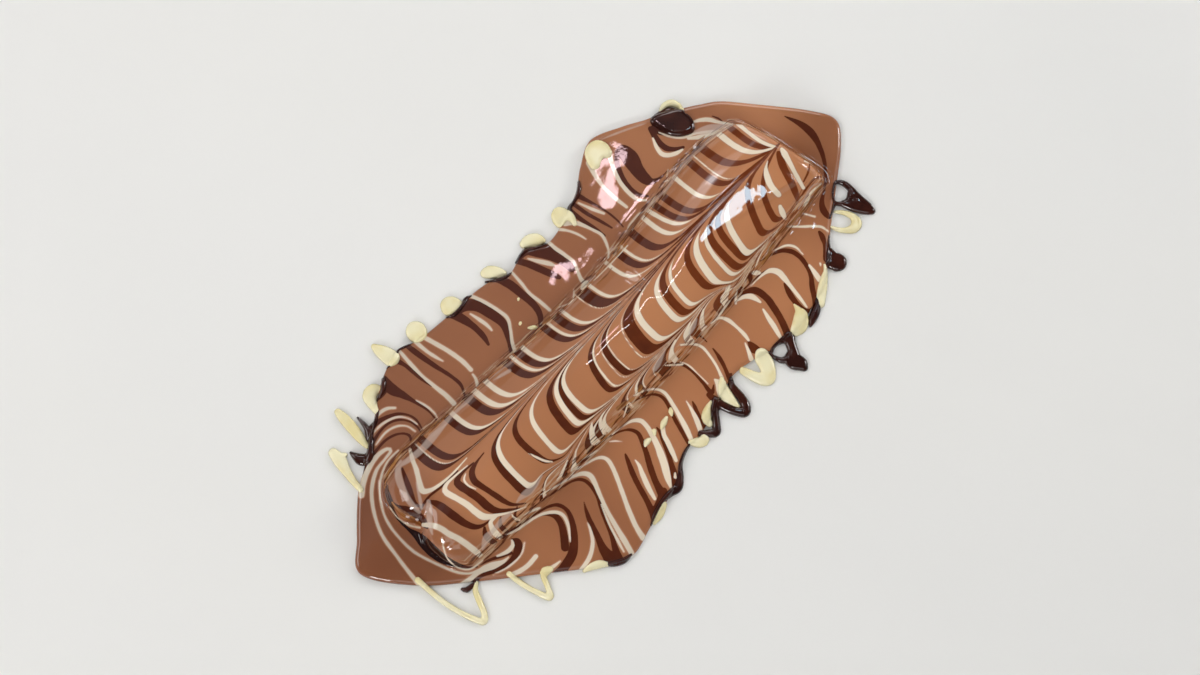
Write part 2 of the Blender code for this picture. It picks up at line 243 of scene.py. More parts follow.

# Strokes along the creases at the roll's feet, on the coat and on the pool: (along, across, width).
# Reflection strokes are painted reflections of the lamps; browned is where the crepe's own skin shows
# through.
CREASE_STROKES_AND_REFLECTIONS = (
    ("browned", ((-100, 20.5, 0.8), (-95, 23.3, 1.1), (-90, 24.6, 1.2), (-85, 25.8, 1.0), (-80, 25.4, 1.1),
        (-74, 24.8, 1.4), (-69, 23.8, 1.4), (-63, 22.8, 1.0), (-58, 22.8, 0.5))),
    ("dark", ((-98, 21.6, 0.4), (-92, 24.2, 0.5), (-86, 25.1, 0.5), (-80, 24.5, 0.5), (-73, 24.2, 0.7),
        (-67, 23.2, 0.7), (-62, 22.3, 0.4))),
    ("painted_reflection", ((-91, 22.6, 1.0), (-87, 21.6, 2.2), (-82, 20.6, 2.8), (-78, 20.4, 2.8), (-74, 20.6, 3.2),
        (-70, 20.7, 2.6), (-66, 21, 2.0), (-62, 21.2, 1.6), (-58, 20.9, 1.6), (-54, 20.6, 1.8),
        (-50, 20.6, 1.0))),
    ("painted_reflection", ((-97.4, 4.2, 1.6), (-97.2, 9, 2.4), (-96, 13.6, 2.6), (-94, 18.2, 3.0), (-91.4, 21.6, 2.4),
        (-88.4, 23.2, 1.4))),
    ("painted_reflection", ((-96, 4.4, 1.0), (-94, 7, 1.4), (-91.6, 10.6, 1.0), (-90, 13, 0.5))),
    ("painted_reflection", ((-92, 4.5, 1.6), (-94, 2.4, 2.4), (-96.6, -0.6, 2.4), (-98.8, -3.4, 1.6), (-100, -5.4, 0.8))),
    ("dark", ((-98.6, 20.4, 0.8), (-100.6, 18, 1.6), (-102, 15, 1.8), (-103.2, 12.4, 0.8))),
    ("white", ((-103.8, 14, 0.4), (-104.6, 9, 0.5), (-103.8, 4, 0.6), (-101.6, 0, 0.8))),
    ("white", ((-98.4, -9, 0.3), (-100.7, -12, 0.5), (-102.5, -15.6, 0.5), (-102.7, -19.8, 0.5),
        (-101.5, -23, 0.6), (-99, -25.4, 0.7), (-94, -26.3, 0.5))),
    ("dark", ((-56, 22, 0.5), (-53.5, 22.4, 0.9), (-50.6, 22.1, 0.5))),
    ("dark", ((-56, 20.9, 0.4), (-53, 20.9, 0.7), (-50.8, 21.1, 0.4))),
    ("painted_reflection", ((-43, 20.3, 0.3), (-39, 20, 0.7), (-35, 19.5, 0.7), (-31, 19, 0.5))),
    ("painted_reflection", ((-41, 19, 0.5), (-37.5, 18, 1.4), (-34, 16.9, 1.6))),
    ("dark", ((-34, 19.8, 0.6), (-31.5, 19.8, 0.7), (-29.5, 19.6, 0.5))),
    ("painted_reflection", ((-34, 18.8, 0.5), (-30, 18.5, 0.6), (-24, 18.5, 0.4), (-20, 18.2, 0.4))),
    ("browned", ((-11.4, 20.6, 0.8), (-9.6, 20.2, 2.2), (-8, 20.4, 1.6))),
    ("painted_reflection", ((-4, 17.9, 0.4), (0, 17.6, 0.5), (5, 17.6, 0.5))),
    ("white", ((-2.4, 20.4, 0.3), (-0.4, 19.3, 0.4), (1.4, 18.4, 0.5), (4, 18.3, 0.5), (5.6, 19.4, 0.5),
        (7.2, 20.9, 0.3))),
    ("white", ((9.6, 18.8, 1.2), (11, 19, 2.2), (12.8, 19, 1.6))),
    ("painted_reflection", ((14, 18.6, 1.0), (17, 18.4, 0.8))),
    ("browned", ((12, 18.2, 0.6), (20, 17.9, 0.6), (28, 17.9, 0.7), (35, 18.3, 0.6))),
    ("white", ((15, 17.5, 0.3), (25, 17.3, 0.5), (35, 17.5, 0.4))),
    ("browned", ((15, 15.6, 0.6), (20, 15.4, 0.8), (24, 15.8, 0.5))),
    ("browned", ((30, 18.6, 0.8), (35, 20.4, 1.6), (41, 21.5, 1.6), (46.6, 21.9, 1.2), (50, 22, 0.5))),
    ("white", ((36, 21.1, 0.3), (39, 21.6, 0.4), (41.7, 22.6, 0.6), (46.7, 23.1, 0.7), (49.4, 22.4, 0.6))),
    ("dark", ((49.4, 23.7, 0.4), (55, 23.4, 0.6), (61, 23.1, 0.5), (66, 23.2, 0.5), (69, 23.3, 0.4))),
    ("dark", ((57.2, 21.1, 0.5), (61, 21.2, 0.6), (65.6, 22, 0.4))),
    ("painted_reflection", ((50, 22.2, 0.6), (54.4, 22.3, 1.3), (63.3, 22.1, 1.2), (69, 23.1, 1.4), (74.4, 23.9, 1.6),
        (80, 23.8, 1.5), (85.6, 23.4, 1.4), (91, 23.3, 1.6), (96.7, 22, 1.2), (102, 20.4, 0.6))),
    ("browned", ((67, 26.4, 0.6), (72, 26.2, 1.2), (78, 26.2, 1.6), (85, 26, 1.4), (90, 25.8, 0.6))),
    ("dark", ((71.8, 25.7, 0.4), (75, 25.6, 0.7), (80, 25.9, 0.5))),
    ("dark", ((81, 25.2, 0.4), (85.6, 25.1, 0.6), (89, 25.4, 0.4))),
    ("white", ((64.4, 24.8, 0.4), (66, 24.0, 0.4))),
    ("white", ((66.8, 25.4, 0.4), (68.2, 26.3, 0.6), (69.4, 27, 0.4))),
    ("painted_reflection", ((-91, -23.4, 0.8), (-87, -21.7, 3.2), (-83, -21.4, 1.6), (-78, -21.2, 2.2),
        (-74, -21.7, 1.4))),
    ("white", ((-73.7, -22.4, 0.4), (-74.2, -24, 0.9), (-73.3, -26, 0.8))),
    ("dark", ((-82.8, -26.3, 0.5), (-78, -26.7, 0.9), (-74, -27.8, 0.8), (-71, -28.4, 0.4))),
    ("white", ((-81, -25.9, 0.5), (-78.5, -27.3, 0.9), (-75, -28.3, 0.8), (-69, -29.3, 0.5))),
    ("white", ((-71, -26, 0.3), (-68, -27, 0.7), (-65.4, -28.2, 1.0), (-64.4, -28.8, 0.3))),
    ("painted_reflection", ((-69, -20.6, 0.8), (-66, -20.6, 2.2), (-62.6, -21.2, 3.0), (-59, -21.4, 1.6),
        (-55, -20.6, 0.8))),
    ("white", ((-52.4, -26.2, 0.5), (-50, -25.9, 1.0), (-47, -24.9, 0.9), (-44, -23.8, 0.5))),
    ("dark", ((-49.4, -26.8, 0.5), (-47, -26.2, 0.9), (-44.5, -25.2, 0.5))),
    ("white", ((-46, -27.8, 0.9), (-43.6, -26.8, 1.0), (-41, -25, 0.8), (-38.6, -23.4, 0.4))),
    ("white", ((-44.6, -28, 1.2), (-43, -29, 1.0), (-41.8, -29.8, 0.4))),
    ("dark", ((-42, -27.9, 0.5), (-38.6, -28.9, 1.1), (-35, -30, 0.5))),
    ("white", ((-40, -28, 0.3), (-36, -28.9, 0.7), (-33, -29.8, 0.5))),
    ("white", ((-27, -20.8, 0.5), (-29.6, -23, 1.8), (-32, -26.4, 2.3))),
    ("dark", ((-25.4, -21.6, 0.5), (-27.6, -23.6, 2.2), (-28.7, -26.4, 2.6))),
    ("white", ((-20, -21.4, 0.4), (-23, -22, 0.9), (-25.4, -24, 1.5), (-26.5, -27, 1.6))),
    ("browned", ((-16, -24.4, 1.4), (-12.6, -25, 1.8), (-9, -26, 1.0))),
    ("dark", ((-16, -24.2, 0.4), (-13, -24.3, 0.7), (-11, -24.6, 0.4))),
    ("white", ((-16.8, -28.2, 0.5), (-13, -26.5, 0.6), (-10.2, -24.5, 0.4))),
    ("white", ((-7, -26.3, 0.6), (-5.9, -24.9, 1.1), (-4.2, -23.4, 0.8), (-1, -22.4, 0.4))),
    ("browned", ((-5, -25.6, 1.4), (-3.4, -25, 1.2))),
    ("dark", ((5.4, -25, 2.0), (8, -24.4, 2.4), (10, -23.6, 1.4))),
    ("painted_reflection", ((5.4, -24.2, 2.2), (8, -23.8, 2.4), (11, -22.9, 1.6), (14, -22, 0.8))),
    ("white", ((12.2, -25.9, 0.8), (14, -25, 1.5), (16.6, -23.5, 1.1), (19.6, -22.4, 0.5))),
    ("white", ((9.3, -26.4, 0.5), (12, -29, 0.7), (14.2, -31, 0.7))),
    ("white", ((22.2, -25.9, 1.2), (23.6, -24.4, 2.2), (25.6, -23, 1.2), (29, -21.9, 0.5))),
    ("dark", ((26, -26, 1.8), (28.4, -25, 2.4), (31, -23.6, 1.4), (34, -22.4, 0.6))),
    ("painted_reflection", ((25.6, -24.6, 1.4), (28.4, -24, 1.8), (31.6, -22.8, 0.8))),
    ("white", ((29.8, -27.6, 1.2), (31.4, -25.8, 1.9), (33.6, -23.8, 1.4), (36.4, -22.2, 0.5))),
    ("dark", ((46, -23, 0.5), (43.6, -23.6, 1.6), (42.2, -25.4, 2.2), (41.8, -27, 1.6))),
    ("white", ((43.4, -26.6, 1.2), (45.6, -25.4, 2.2), (48.4, -24, 1.6), (50.6, -23.4, 0.6))),
    ("dark", ((40, -28.9, 0.4), (47, -27.9, 0.5), (52, -27, 0.5))),
    ("white", ((36.6, -28.6, 0.6), (41, -28.1, 0.8), (46, -27.5, 0.5))),
    ("dark", ((49.4, -29.6, 0.6), (51, -28.6, 2.0), (53, -27.4, 1.4))),
    ("white", ((46.7, -30, 0.8), (49, -28, 0.9), (51.4, -26.6, 0.4))),
    ("dark", ((57.2, -28.4, 1.2), (58.6, -27.2, 2.0), (60, -26.4, 0.8))),
    ("white", ((60.4, -26.4, 1.0), (61.6, -27.6, 2.2), (62.6, -28.6, 1.0))),
    ("browned", ((66, -26.8, 0.8), (70, -26.6, 1.4), (73, -25.2, 1.2), (77, -24.4, 0.6))),
    ("browned", ((78, -23.4, 0.6), (84, -24, 1.0), (92, -24.4, 1.2), (100, -23.8, 1.0), (106, -22.4, 0.5))),
    ("painted_reflection", ((92.8, -22.4, 0.6), (98, -21.4, 1.2), (104, -20.2, 0.9), (107.4, -22.2, 0.6))),
    ("white", ((95.6, -23.6, 0.6), (98, -22.8, 1.2), (101, -21.8, 0.6))),
)

# Strokes of the pool on the roll's left: (along, across, width).
LEFT_POOL_STROKES_AND_REFLECTIONS = (
    ("white", ((-108, 25, 2.2), (-104, 28, 2.2), (-99, 30.2, 2.0), (-93, 31.3, 1.7), (-88.6, 30.4, 1.3),
        (-88.2, 28.8, 1.1), (-92, 28.2, 0.9), (-97, 27.6, 1.2), (-102, 25, 1.4), (-106.5, 20.8, 1.3),
        (-110.7, 14.5, 1.2), (-113.5, 8, 1.2), (-115, 0, 1.2), (-116.2, -8, 1.2), (-117, -14.5, 1.6))),
    ("white", ((-86, 26.8, 0.5), (-92, 26.8, 0.7), (-98, 24.3, 0.8), (-103, 20, 0.8), (-107, 14, 0.8),
        (-109, 8, 0.9), (-109.7, 1, 0.9), (-109.5, -5, 0.9), (-108, -11, 0.9), (-106, -17, 0.9),
        (-104, -22, 0.8), (-101, -26, 0.8), (-97, -28, 0.8))),
    ("dark", ((-101, 31.4, 3.2), (-97, 32.2, 2.2), (-92, 33, 1.3), (-86.8, 33.2, 1.0), (-82.6, 32, 1.0),
        (-79.8, 29.8, 1.0), (-79, 27.4, 1.0), (-80.6, 25.2, 0.7))),
    ("dark", ((-95, 34.6, 2.6), (-91, 36, 1.6), (-86.5, 37.1, 1.1), (-81.5, 37.1, 1.0), (-77.4, 35.1, 1.0),
        (-75, 31.6, 0.9), (-74.4, 28, 0.8), (-75, 25.2, 0.6))),
    ("white", ((-90.4, 34.7, 0.5), (-84.4, 35.3, 0.7), (-79.8, 33.9, 0.7), (-77, 31, 0.6),
        (-76.2, 27.2, 0.5))),
    ("dark", ((-89, 41, 2.8), (-86, 40.8, 2.4), (-81, 39.7, 1.7), (-76.2, 37.1, 1.2), (-73.5, 33.6, 1.0),
        (-72.8, 29.8, 0.9), (-73.9, 25.2, 0.6))),
    ("white", ((-88, 38.8, 0.6), (-82.4, 38.5, 0.8), (-77.2, 36.4, 0.7), (-74.5, 32.8, 0.6),
        (-73.7, 28.6, 0.5))),
    ("white", ((-84, 42, 0.7), (-80.5, 42.4, 1.2), (-77.3, 41.5, 1.2), (-75, 39.4, 0.8))),
    ("dark", ((-78, 46.7, 0.8), (-74.6, 46.6, 1.4), (-71.6, 47.6, 2.4))),
    ("dark", ((-70, 50.6, 3.0), (-70.7, 46, 4.4), (-69.4, 41, 2.9), (-68.2, 36, 1.5), (-67, 30, 0.9),
        (-67.4, 24.5, 0.8))),
    ("white", ((-67.3, 35.5, 0.4), (-66.2, 31, 0.8), (-66.0, 27, 0.7), (-66.6, 24.5, 0.5))),
    ("dark", ((-61.4, 52.5, 2.4), (-60.3, 48, 1.6), (-59.9, 41, 1.5), (-59.2, 35, 0.6))),
    ("white", ((-57.8, 54, 1.0), (-58.4, 48, 1.5), (-58.8, 41, 1.2), (-58.4, 34, 1.5), (-57.9, 28, 1.8),
        (-58.2, 23.8, 1.9))),
    ("dark", ((-54.2, 53.5, 2.0), (-53.6, 47, 2.3), (-52.4, 39, 1.8), (-51.1, 32, 1.4), (-51.0, 27, 1.3),
        (-53.2, 22.6, 0.7))),
    ("white", ((-50.8, 52, 1.6), (-50.5, 46, 1.3), (-49.7, 41.5, 1.1), (-49.0, 38.7, 0.5))),
    ("white", ((-47.3, 51, 1.8), (-45.8, 45, 1.7), (-44.5, 39, 1.7), (-43.8, 33, 1.8), (-44.0, 28.3, 1.7))),
    ("white", ((-44.8, 26.5, 0.7), (-45.2, 24.5, 1.1), (-46.8, 22, 1.1))),
    ("dark", ((-34, 49.0, 1.6), (-32.2, 47.2, 3.8), (-30.8, 40, 2.6), (-31.0, 34, 2.2), (-32, 30.3, 1.2))),
    ("dark", ((-30, 48.2, 3.0), (-26.5, 47.5, 4.6), (-23.6, 44, 4.8), (-22.4, 38, 4.2), (-22.0, 32, 3.4),
        (-24.5, 27, 2.0), (-28, 21.6, 1.5))),
    ("white", ((-28.0, 44, 0.6), (-27.3, 40, 1.4), (-26.8, 36, 1.4), (-27, 33.3, 0.8))),
    ("white", ((-22.8, 49.5, 1.6), (-20.8, 43.5, 1.4), (-19.5, 37, 1.4), (-19.3, 32, 1.4), (-21.8, 28, 1.2),
        (-25, 24, 1.3), (-27, 20.5, 1.4))),
    ("dark", ((-14, 48.5, 1.4), (-10.5, 46, 3.0), (-8.8, 41, 3.6), (-8.3, 34, 3.2), (-8.2, 28, 2.8),
        (-9.6, 23.5, 2.4), (-12.5, 20.5, 1.6))),
    ("white", ((-4.6, 44, 1.1), (-5.2, 38, 1.1), (-6.0, 32.5, 1.2), (-5.6, 27, 1.4), (-5.5, 22, 1.2))),
    ("dark", ((-0.4, 45.2, 1.4), (4, 45.4, 2.2), (8, 43.8, 2.4))),
    ("dark", ((0.2, 45.4, 2.6), (2.2, 41.5, 2.9), (4.2, 36, 3.0), (5.9, 31, 2.7), (6.8, 28.4, 1.6))),
    ("dark", ((6.4, 44.8, 3.4), (9.9, 41.6, 6.6), (11.5, 37.4, 5.4), (12.8, 32.4, 4.2), (12.8, 27.2, 3.0))),
    ("white", ((3.8, 43, 0.5), (6.0, 39, 1.6), (8.0, 35.5, 1.8), (9.0, 33.4, 0.8))),
    ("white", ((14.4, 43, 1.2), (14.4, 38, 1.5), (15.0, 33, 1.5), (15.2, 28.5, 1.2), (13.4, 24.5, 1.3),
        (12.0, 21, 1.6), (12.6, 18, 1.4))),
    ("white", ((20.8, 42.5, 1.2), (23.2, 39, 1.0), (24.8, 35, 1.0), (25.5, 31.5, 0.5))),
    ("white", ((24.6, 42, 2.2), (28, 38.4, 1.7), (30.2, 32, 1.1), (31, 27.5, 1.2), (28.5, 22, 0.9),
        (25.8, 19.6, 0.7))),
    ("dark", ((29.8, 44.5, 2.2), (30.2, 38, 1.8), (31.2, 32, 1.4), (31.6, 27, 1.0))),
    ("dark", ((32.8, 44.5, 1.8), (33.6, 38, 1.6), (35, 32, 1.3), (36, 27, 0.8))),
    ("white", ((34.4, 44, 0.7), (36.2, 38.5, 1.2), (38.2, 33.5, 1.0))),
    ("dark", ((36.5, 46, 2.4), (38, 40.5, 1.4), (39.4, 34, 0.9), (39.8, 28, 0.8), (39.4, 24, 0.6))),
    ("white", ((50, 52, 3.4), (47.6, 47, 1.8), (46.2, 41, 1.5), (46.0, 35, 1.6), (46.4, 28.6, 1.2))),
    ("white", ((58, 49, 2.4), (55.0, 44, 1.5), (52.4, 38, 1.7), (51.4, 32, 1.7), (51.8, 27.5, 1.3),
        (53.8, 24.8, 0.8))),
    ("dark", ((60.8, 47.4, 1.6), (57.0, 43.5, 2.2), (54.4, 38.5, 2.2), (53.2, 33, 1.8), (53.6, 28.5, 1.6),
        (55.6, 25.4, 1.0))),
    ("dark", ((59.8, 46.5, 2.0), (62.8, 46.2, 4.6), (62.4, 41.5, 7.0), (60.8, 36, 5.6), (60.2, 31, 4.6),
        (61.5, 28.2, 2.4), (65.5, 26.9, 0.8), (69.5, 26.8, 0.6))),
    ("white", ((75.0, 40.5, 0.8), (73.2, 36.8, 1.6), (72.6, 33.2, 1.9), (74.2, 30.8, 1.8),
        (76.9, 29.2, 1.6), (79.6, 28.5, 0.8))),
    ("dark", ((77.4, 44, 2.2), (76.0, 40, 2.5), (75.3, 36.6, 2.6), (75.7, 33.4, 2.4), (77.7, 30.8, 1.8),
        (80.6, 28.9, 1.2))),
    ("white", ((78.5, 40.4, 0.5), (80.3, 36, 1.0), (83.5, 31.8, 1.0), (88, 29.4, 0.9), (92.5, 25.8, 1.1),
        (97, 21.8, 0.7))),
    ("dark", ((79.6, 45, 0.8), (78.6, 42.6, 2.6), (78.8, 40.2, 2.4), (80, 38, 1.4))),
    # The next two strokes are painted reflections, the first along the pool's lip.
    ("painted_reflection", ((60, 55.6, 0.5), (65, 53.4, 0.9), (70, 51, 0.9), (75, 48.4, 0.8), (78, 46.9, 0.4))),
    ("painted_reflection", ((88.3, 29.8, 1.5), (91, 27.8, 3.6), (94, 26, 4.0), (97, 24, 2.6), (100, 21.6, 1.2))),
    ("white", ((84.7, 30, 1.0), (88.3, 27, 1.8), (92.2, 24.6, 1.3), (96.7, 22, 0.9), (101.7, 21, 0.5))),
    ("white", ((90.4, 33.6, 0.5), (93.4, 32, 1.4), (96.4, 29.2, 1.8), (98.2, 25.7, 1.3), (101, 21.6, 0.6))),
    ("dark", ((98.4, 29.4, 0.4), (99.4, 26.8, 0.8), (99.5, 24.4, 0.4))),
)

# Strokes of the pool on the roll's right: (along, across, width).
RIGHT_POOL_STROKES = (
    ("dark", ((-106.4, -29, 2.4), (-103, -29.8, 2.6), (-99.4, -29.8, 1.4), (-96, -31, 1.8),
        (-92.4, -33, 2.0), (-88, -34.4, 2.0), (-84, -34.2, 2.6), (-81, -32.8, 3.2), (-79.8, -31, 2.6),
        (-80.6, -29, 0.8))),
    ("dark", ((-96, -26.8, 0.5), (-92, -28.2, 1.1), (-88.5, -30.2, 1.3), (-84.5, -32.4, 1.3))),
    ("white", ((-108, -26.2, 1.6), (-103, -27.6, 1.8), (-98.4, -28.2, 1.8), (-95, -29.4, 2.6),
        (-92, -31, 2.6), (-89, -32.4, 1.4), (-86.4, -32.7, 0.5))),
    ("white", ((-89, -29.3, 0.7), (-85, -31, 1.6), (-82, -30.8, 1.4), (-80.8, -29.2, 0.7))),
    ("white", ((-95, -33, 0.5), (-89, -35.2, 0.7), (-82.5, -35.6, 0.7), (-78.2, -33.4, 0.6))),
    ("white", ((-91, -37.8, 1.4), (-87.5, -39.4, 1.7), (-83.5, -40.3, 1.8), (-79, -40.2, 1.7))),
    ("white", ((-81, -46, 1.5), (-77.5, -47.6, 1.4), (-74, -48.2, 0.6))),
    ("dark", ((-78.4, -49.8, 1.6), (-75.4, -50.9, 3.6), (-69, -49.8, 3.6), (-64, -46.2, 3.0),
        (-60.2, -41.6, 2.2), (-58.2, -37, 1.6), (-59, -33, 1.4), (-62.5, -30.5, 1.0), (-68.5, -28.8, 0.8),
        (-75, -27.2, 0.7), (-82, -25.6, 0.5))),
    ("white", ((-76, -28.4, 0.5), (-68, -30, 0.9), (-63, -32.8, 1.2), (-60.6, -36.6, 1.3), (-62, -41, 1.2),
        (-66, -46, 0.6))),
    ("dark", ((-68, -30, 0.5), (-64.6, -32, 1.3), (-62.8, -35, 2.2), (-63.4, -38.6, 2.6),
        (-65.8, -42.4, 3.0), (-69, -46, 3.0))),
    ("white", ((-72, -56.3, 1.4), (-66, -55.6, 1.6), (-61, -53, 1.5), (-58, -49.4, 1.1),
        (-56.2, -46, 0.5))),
    ("dark", ((-60.4, -62.2, 5.2), (-59.4, -57, 3.4), (-57.3, -52, 2.3), (-55.1, -46, 1.9),
        (-53.0, -42, 1.2), (-51.4, -39.5, 0.4))),
    ("white", ((-47.6, -45, 0.4), (-50.8, -52, 0.9), (-53.3, -59, 1.0), (-54.8, -63.6, 0.6))),
    ("dark", ((-58.8, -65, 4.0), (-56, -60, 2.4), (-53.3, -55.6, 1.8), (-51.4, -51.6, 1.6),
        (-49.2, -47.2, 1.7), (-46, -41.5, 1.7), (-45, -37, 1.5), (-45.4, -33.5, 1.3), (-48, -31, 1.0),
        (-53, -29.4, 0.8), (-60, -27.8, 0.6), (-68, -26.2, 0.5))),
    ("white", ((-53.3, -66.5, 1.8), (-51.7, -61.5, 2.1), (-49.9, -55, 1.9), (-47.6, -48, 1.4),
        (-45.2, -42, 1.5), (-43, -37, 1.9), (-42.4, -34, 2.0), (-44, -31.4, 1.6), (-48, -29.4, 1.0),
        (-55, -27.3, 0.7), (-61, -25.2, 0.5))),
    ("white", ((-45.9, -65.4, 2.3), (-44.6, -60.5, 1.9), (-41.8, -54, 1.8), (-38, -46.5, 1.7),
        (-35, -40.5, 1.7), (-33.4, -36, 1.6), (-34, -33, 1.3), (-37, -31, 0.9), (-42, -29.6, 0.6),
        (-48, -28.6, 0.4))),
    ("dark", ((-38.6, -64, 1.4), (-35, -62, 2.6), (-31, -60.6, 3.0), (-27.4, -59.2, 3.0))),
    ("dark", ((-38, -63.6, 2.0), (-36, -60.5, 2.4), (-34.2, -56, 2.2), (-32.4, -50.5, 2.2),
        (-30.2, -45, 2.1), (-28.2, -41, 1.6), (-27, -38.6, 0.7))),
    ("white", ((-31.9, -58.6, 1.2), (-30.4, -54, 1.9), (-28.3, -49, 1.9), (-26.6, -45.5, 1.2),
        (-26.1, -43, 0.5))),
    ("dark", ((-28.8, -60.5, 4.0), (-27.3, -55.5, 2.6), (-24.6, -50, 2.5), (-21, -44, 2.1),
        (-18.4, -39, 1.8), (-17.7, -36, 1.5), (-19.2, -33, 1.1), (-23, -30.6, 0.8), (-29, -28.8, 0.7),
        (-37, -27.6, 0.5))),
    ("white", ((-24.4, -60, 1.0), (-23, -57.6, 2.2), (-21.6, -55.4, 2.7), (-19.8, -52.6, 2.9),
        (-18.1, -49.6, 2.9), (-16.5, -46.4, 2.5), (-15.1, -43, 2.2), (-13.9, -39.6, 1.9),
        (-13.2, -36.4, 1.9), (-13.4, -34, 1.8), (-15.6, -31.8, 1.2), (-19, -30.6, 0.7), (-25, -29.6, 0.5))),
    ("dark", ((-22.6, -60.8, 2.6), (-19.9, -57.8, 2.8), (-17.5, -54, 2.1), (-15.1, -50, 2.0),
        (-13.2, -46, 1.7), (-11.6, -42.8, 1.3), (-11, -40.4, 0.5))),
    ("white", ((-19.2, -57.6, 0.8), (-20.4, -58.8, 1.3))),
    ("white", ((-15.4, -54.6, 1.4), (-13.8, -51, 1.9), (-12.4, -47.5, 1.9), (-11.2, -44.4, 1.7),
        (-9, -41.8, 1.6))),
    ("dark", ((-7.2, -53.5, 1.3), (-5.6, -49, 1.6), (-4, -44, 1.6), (-2, -39, 1.5), (-0.8, -35, 1.4),
        (-1.4, -32, 1.1), (-4, -29.4, 0.8), (-9, -27.2, 0.6), (-15, -25.8, 0.4))),
    ("white", ((-5.6, -54, 1.6), (-3.7, -49.6, 2.0), (-1.7, -44, 1.7), (0.5, -37, 1.4), (1.1, -33.5, 1.3),
        (0.1, -30.4, 1.0), (-3, -27.6, 0.7), (-8, -25.4, 0.5))),
    ("white", ((-0.5, -54, 1.6), (1.7, -50, 2.0), (3.6, -45, 1.1), (4.5, -42, 0.5))),
    ("dark", ((1.6, -55, 1.6), (3.2, -50, 1.7), (5, -46, 1.5), (6, -43.8, 0.7))),
    ("white", ((9, -49.6, 1.0), (6.5, -50.6, 1.8), (4, -52.4, 2.4), (3.6, -55, 1.2))),
    ("dark", ((-2, -54.6, 1.4), (0.8, -56.6, 2.6), (3.4, -57.6, 3.2), (6, -55.2, 2.6), (9.4, -52.2, 2.4),
        (12.2, -50, 3.2))),
    ("dark", ((12.2, -46.6, 1.8), (12.6, -50, 3.0), (13.6, -54, 3.2), (15.2, -59, 3.4))),
    ("dark", ((20.4, -59, 3.0), (20.7, -54, 2.6), (21.2, -50.6, 2.4), (24.5, -47.6, 0.8))),
    ("white", ((18.4, -44.4, 0.8), (18.3, -47, 3.2), (16.9, -51, 5.4), (16.7, -55, 3.6), (16.9, -58, 1.2))),
    ("dark", ((10, -26, 0.6), (12.6, -28.6, 1.0), (14.3, -31.6, 1.1), (14.8, -36, 1.0), (14.3, -42, 1.3),
        (13.6, -47, 1.8), (16.5, -45.5, 0.6))),
    ("white", ((14.2, -29.5, 0.3), (15.5, -32.5, 0.6), (15.6, -38, 0.5), (15.3, -43.5, 0.4))),
    ("white", ((19.5, -25.3, 0.7), (23, -28.5, 1.0), (24.6, -32, 1.1), (24, -37, 1.0), (22.6, -42, 1.0),
        (20.6, -46.3, 1.4))),
    ("dark", ((27.1, -35.5, 0.5), (26.2, -39.6, 1.5), (24.6, -44, 1.6), (22.4, -48.5, 1.6))),
    ("dark", ((25, -25.5, 0.4), (27.4, -28.6, 0.9), (27.4, -32, 0.4))),
    ("white", ((34, -28.2, 0.4), (38, -29.2, 1.0), (39.7, -32.5, 1.6), (39.9, -37, 1.3), (39.7, -41, 1.6),
        (39.1, -43.6, 1.0))),
    ("dark", ((38.6, -44, 0.9), (38.4, -45.6, 2.6), (38.1, -47.7, 3.8), (38.7, -49.2, 2.6), (40, -51, 1.7),
        (41, -53.6, 1.4))),
    ("white", ((37.4, -43.4, 0.7), (35.9, -46.4, 1.4), (34.2, -49.4, 1.9))),
    ("white", ((47.5, -29.4, 0.5), (51, -30.6, 1.7), (53.2, -33, 2.3), (53.8, -36.8, 0.8))),
    ("white", ((52.4, -39.5, 0.7), (51.3, -43, 1.6), (50.2, -47, 1.9), (48.9, -51, 1.5),
        (48.2, -53.2, 0.8))),
    ("dark", ((49, -29.2, 0.5), (53, -29.8, 1.7), (56, -32.2, 2.9), (56.8, -37, 2.8), (55.7, -42.5, 2.8),
        (53.9, -48, 2.8), (52.0, -52, 2.8), (50.2, -54.6, 2.6))),
    ("dark", ((48, -27.6, 0.4), (55, -28.6, 0.7), (62, -29.2, 0.7), (66, -30, 0.4))),
    ("white", ((56, -29.6, 0.3), (62, -29.9, 0.8), (66, -31, 1.9), (67.8, -33.8, 2.6), (67.6, -37, 2.3),
        (66.8, -41.5, 1.5), (65.8, -47, 1.4), (64.8, -51.5, 0.8))),
    ("dark", ((66, -38.8, 1.0), (64.7, -42, 2.2), (63.5, -46, 2.3), (63.1, -50.5, 2.0), (63.8, -53.4, 2.6),
        (66.6, -54.4, 2.6), (70, -52.4, 1.4))),
    ("dark", ((66, -25.4, 0.4), (71, -27, 1.0), (75.2, -28.9, 1.6), (77.7, -32, 2.0), (78.4, -36, 2.0),
        (77.4, -40.5, 1.8), (75.4, -44.5, 1.8), (72.4, -47.8, 2.2), (69.5, -51.6, 2.2), (66, -55, 1.8))),
    ("white", ((73, -26.6, 0.3), (78, -28.8, 0.8), (80.2, -32, 0.9), (80, -36.2, 0.5))),
    ("white", ((78.4, -41, 0.8), (77.7, -44, 1.8), (76.8, -47.8, 2.2))),
    ("white", ((82.0, -43.6, 0.7), (81.4, -44.4, 0.6))),
    ("white", ((84.6, -24.2, 0.6), (88, -28, 0.9), (91.2, -31.2, 0.9), (93.6, -34.2, 0.9),
        (94, -37.4, 0.6))),
    ("dark", ((91.4, -34.9, 1.2), (90.8, -37, 2.4), (89.3, -39.6, 1.9), (87.8, -41.8, 2.6),
        (85.8, -44.6, 4.4))),
    ("white", ((92.8, -25.2, 0.5), (95, -29.4, 0.8))),
    ("dark", ((98.7, -33.6, 2.0), (99.3, -30.4, 2.8), (101.3, -27.6, 2.1), (105.5, -25, 1.0),
        (110, -22, 1.2), (115, -17, 1.6), (118.6, -11, 2.2), (120.6, -5, 3.2), (120.4, 1, 2.6),
        (118.5, 7.8, 0.3))),
)

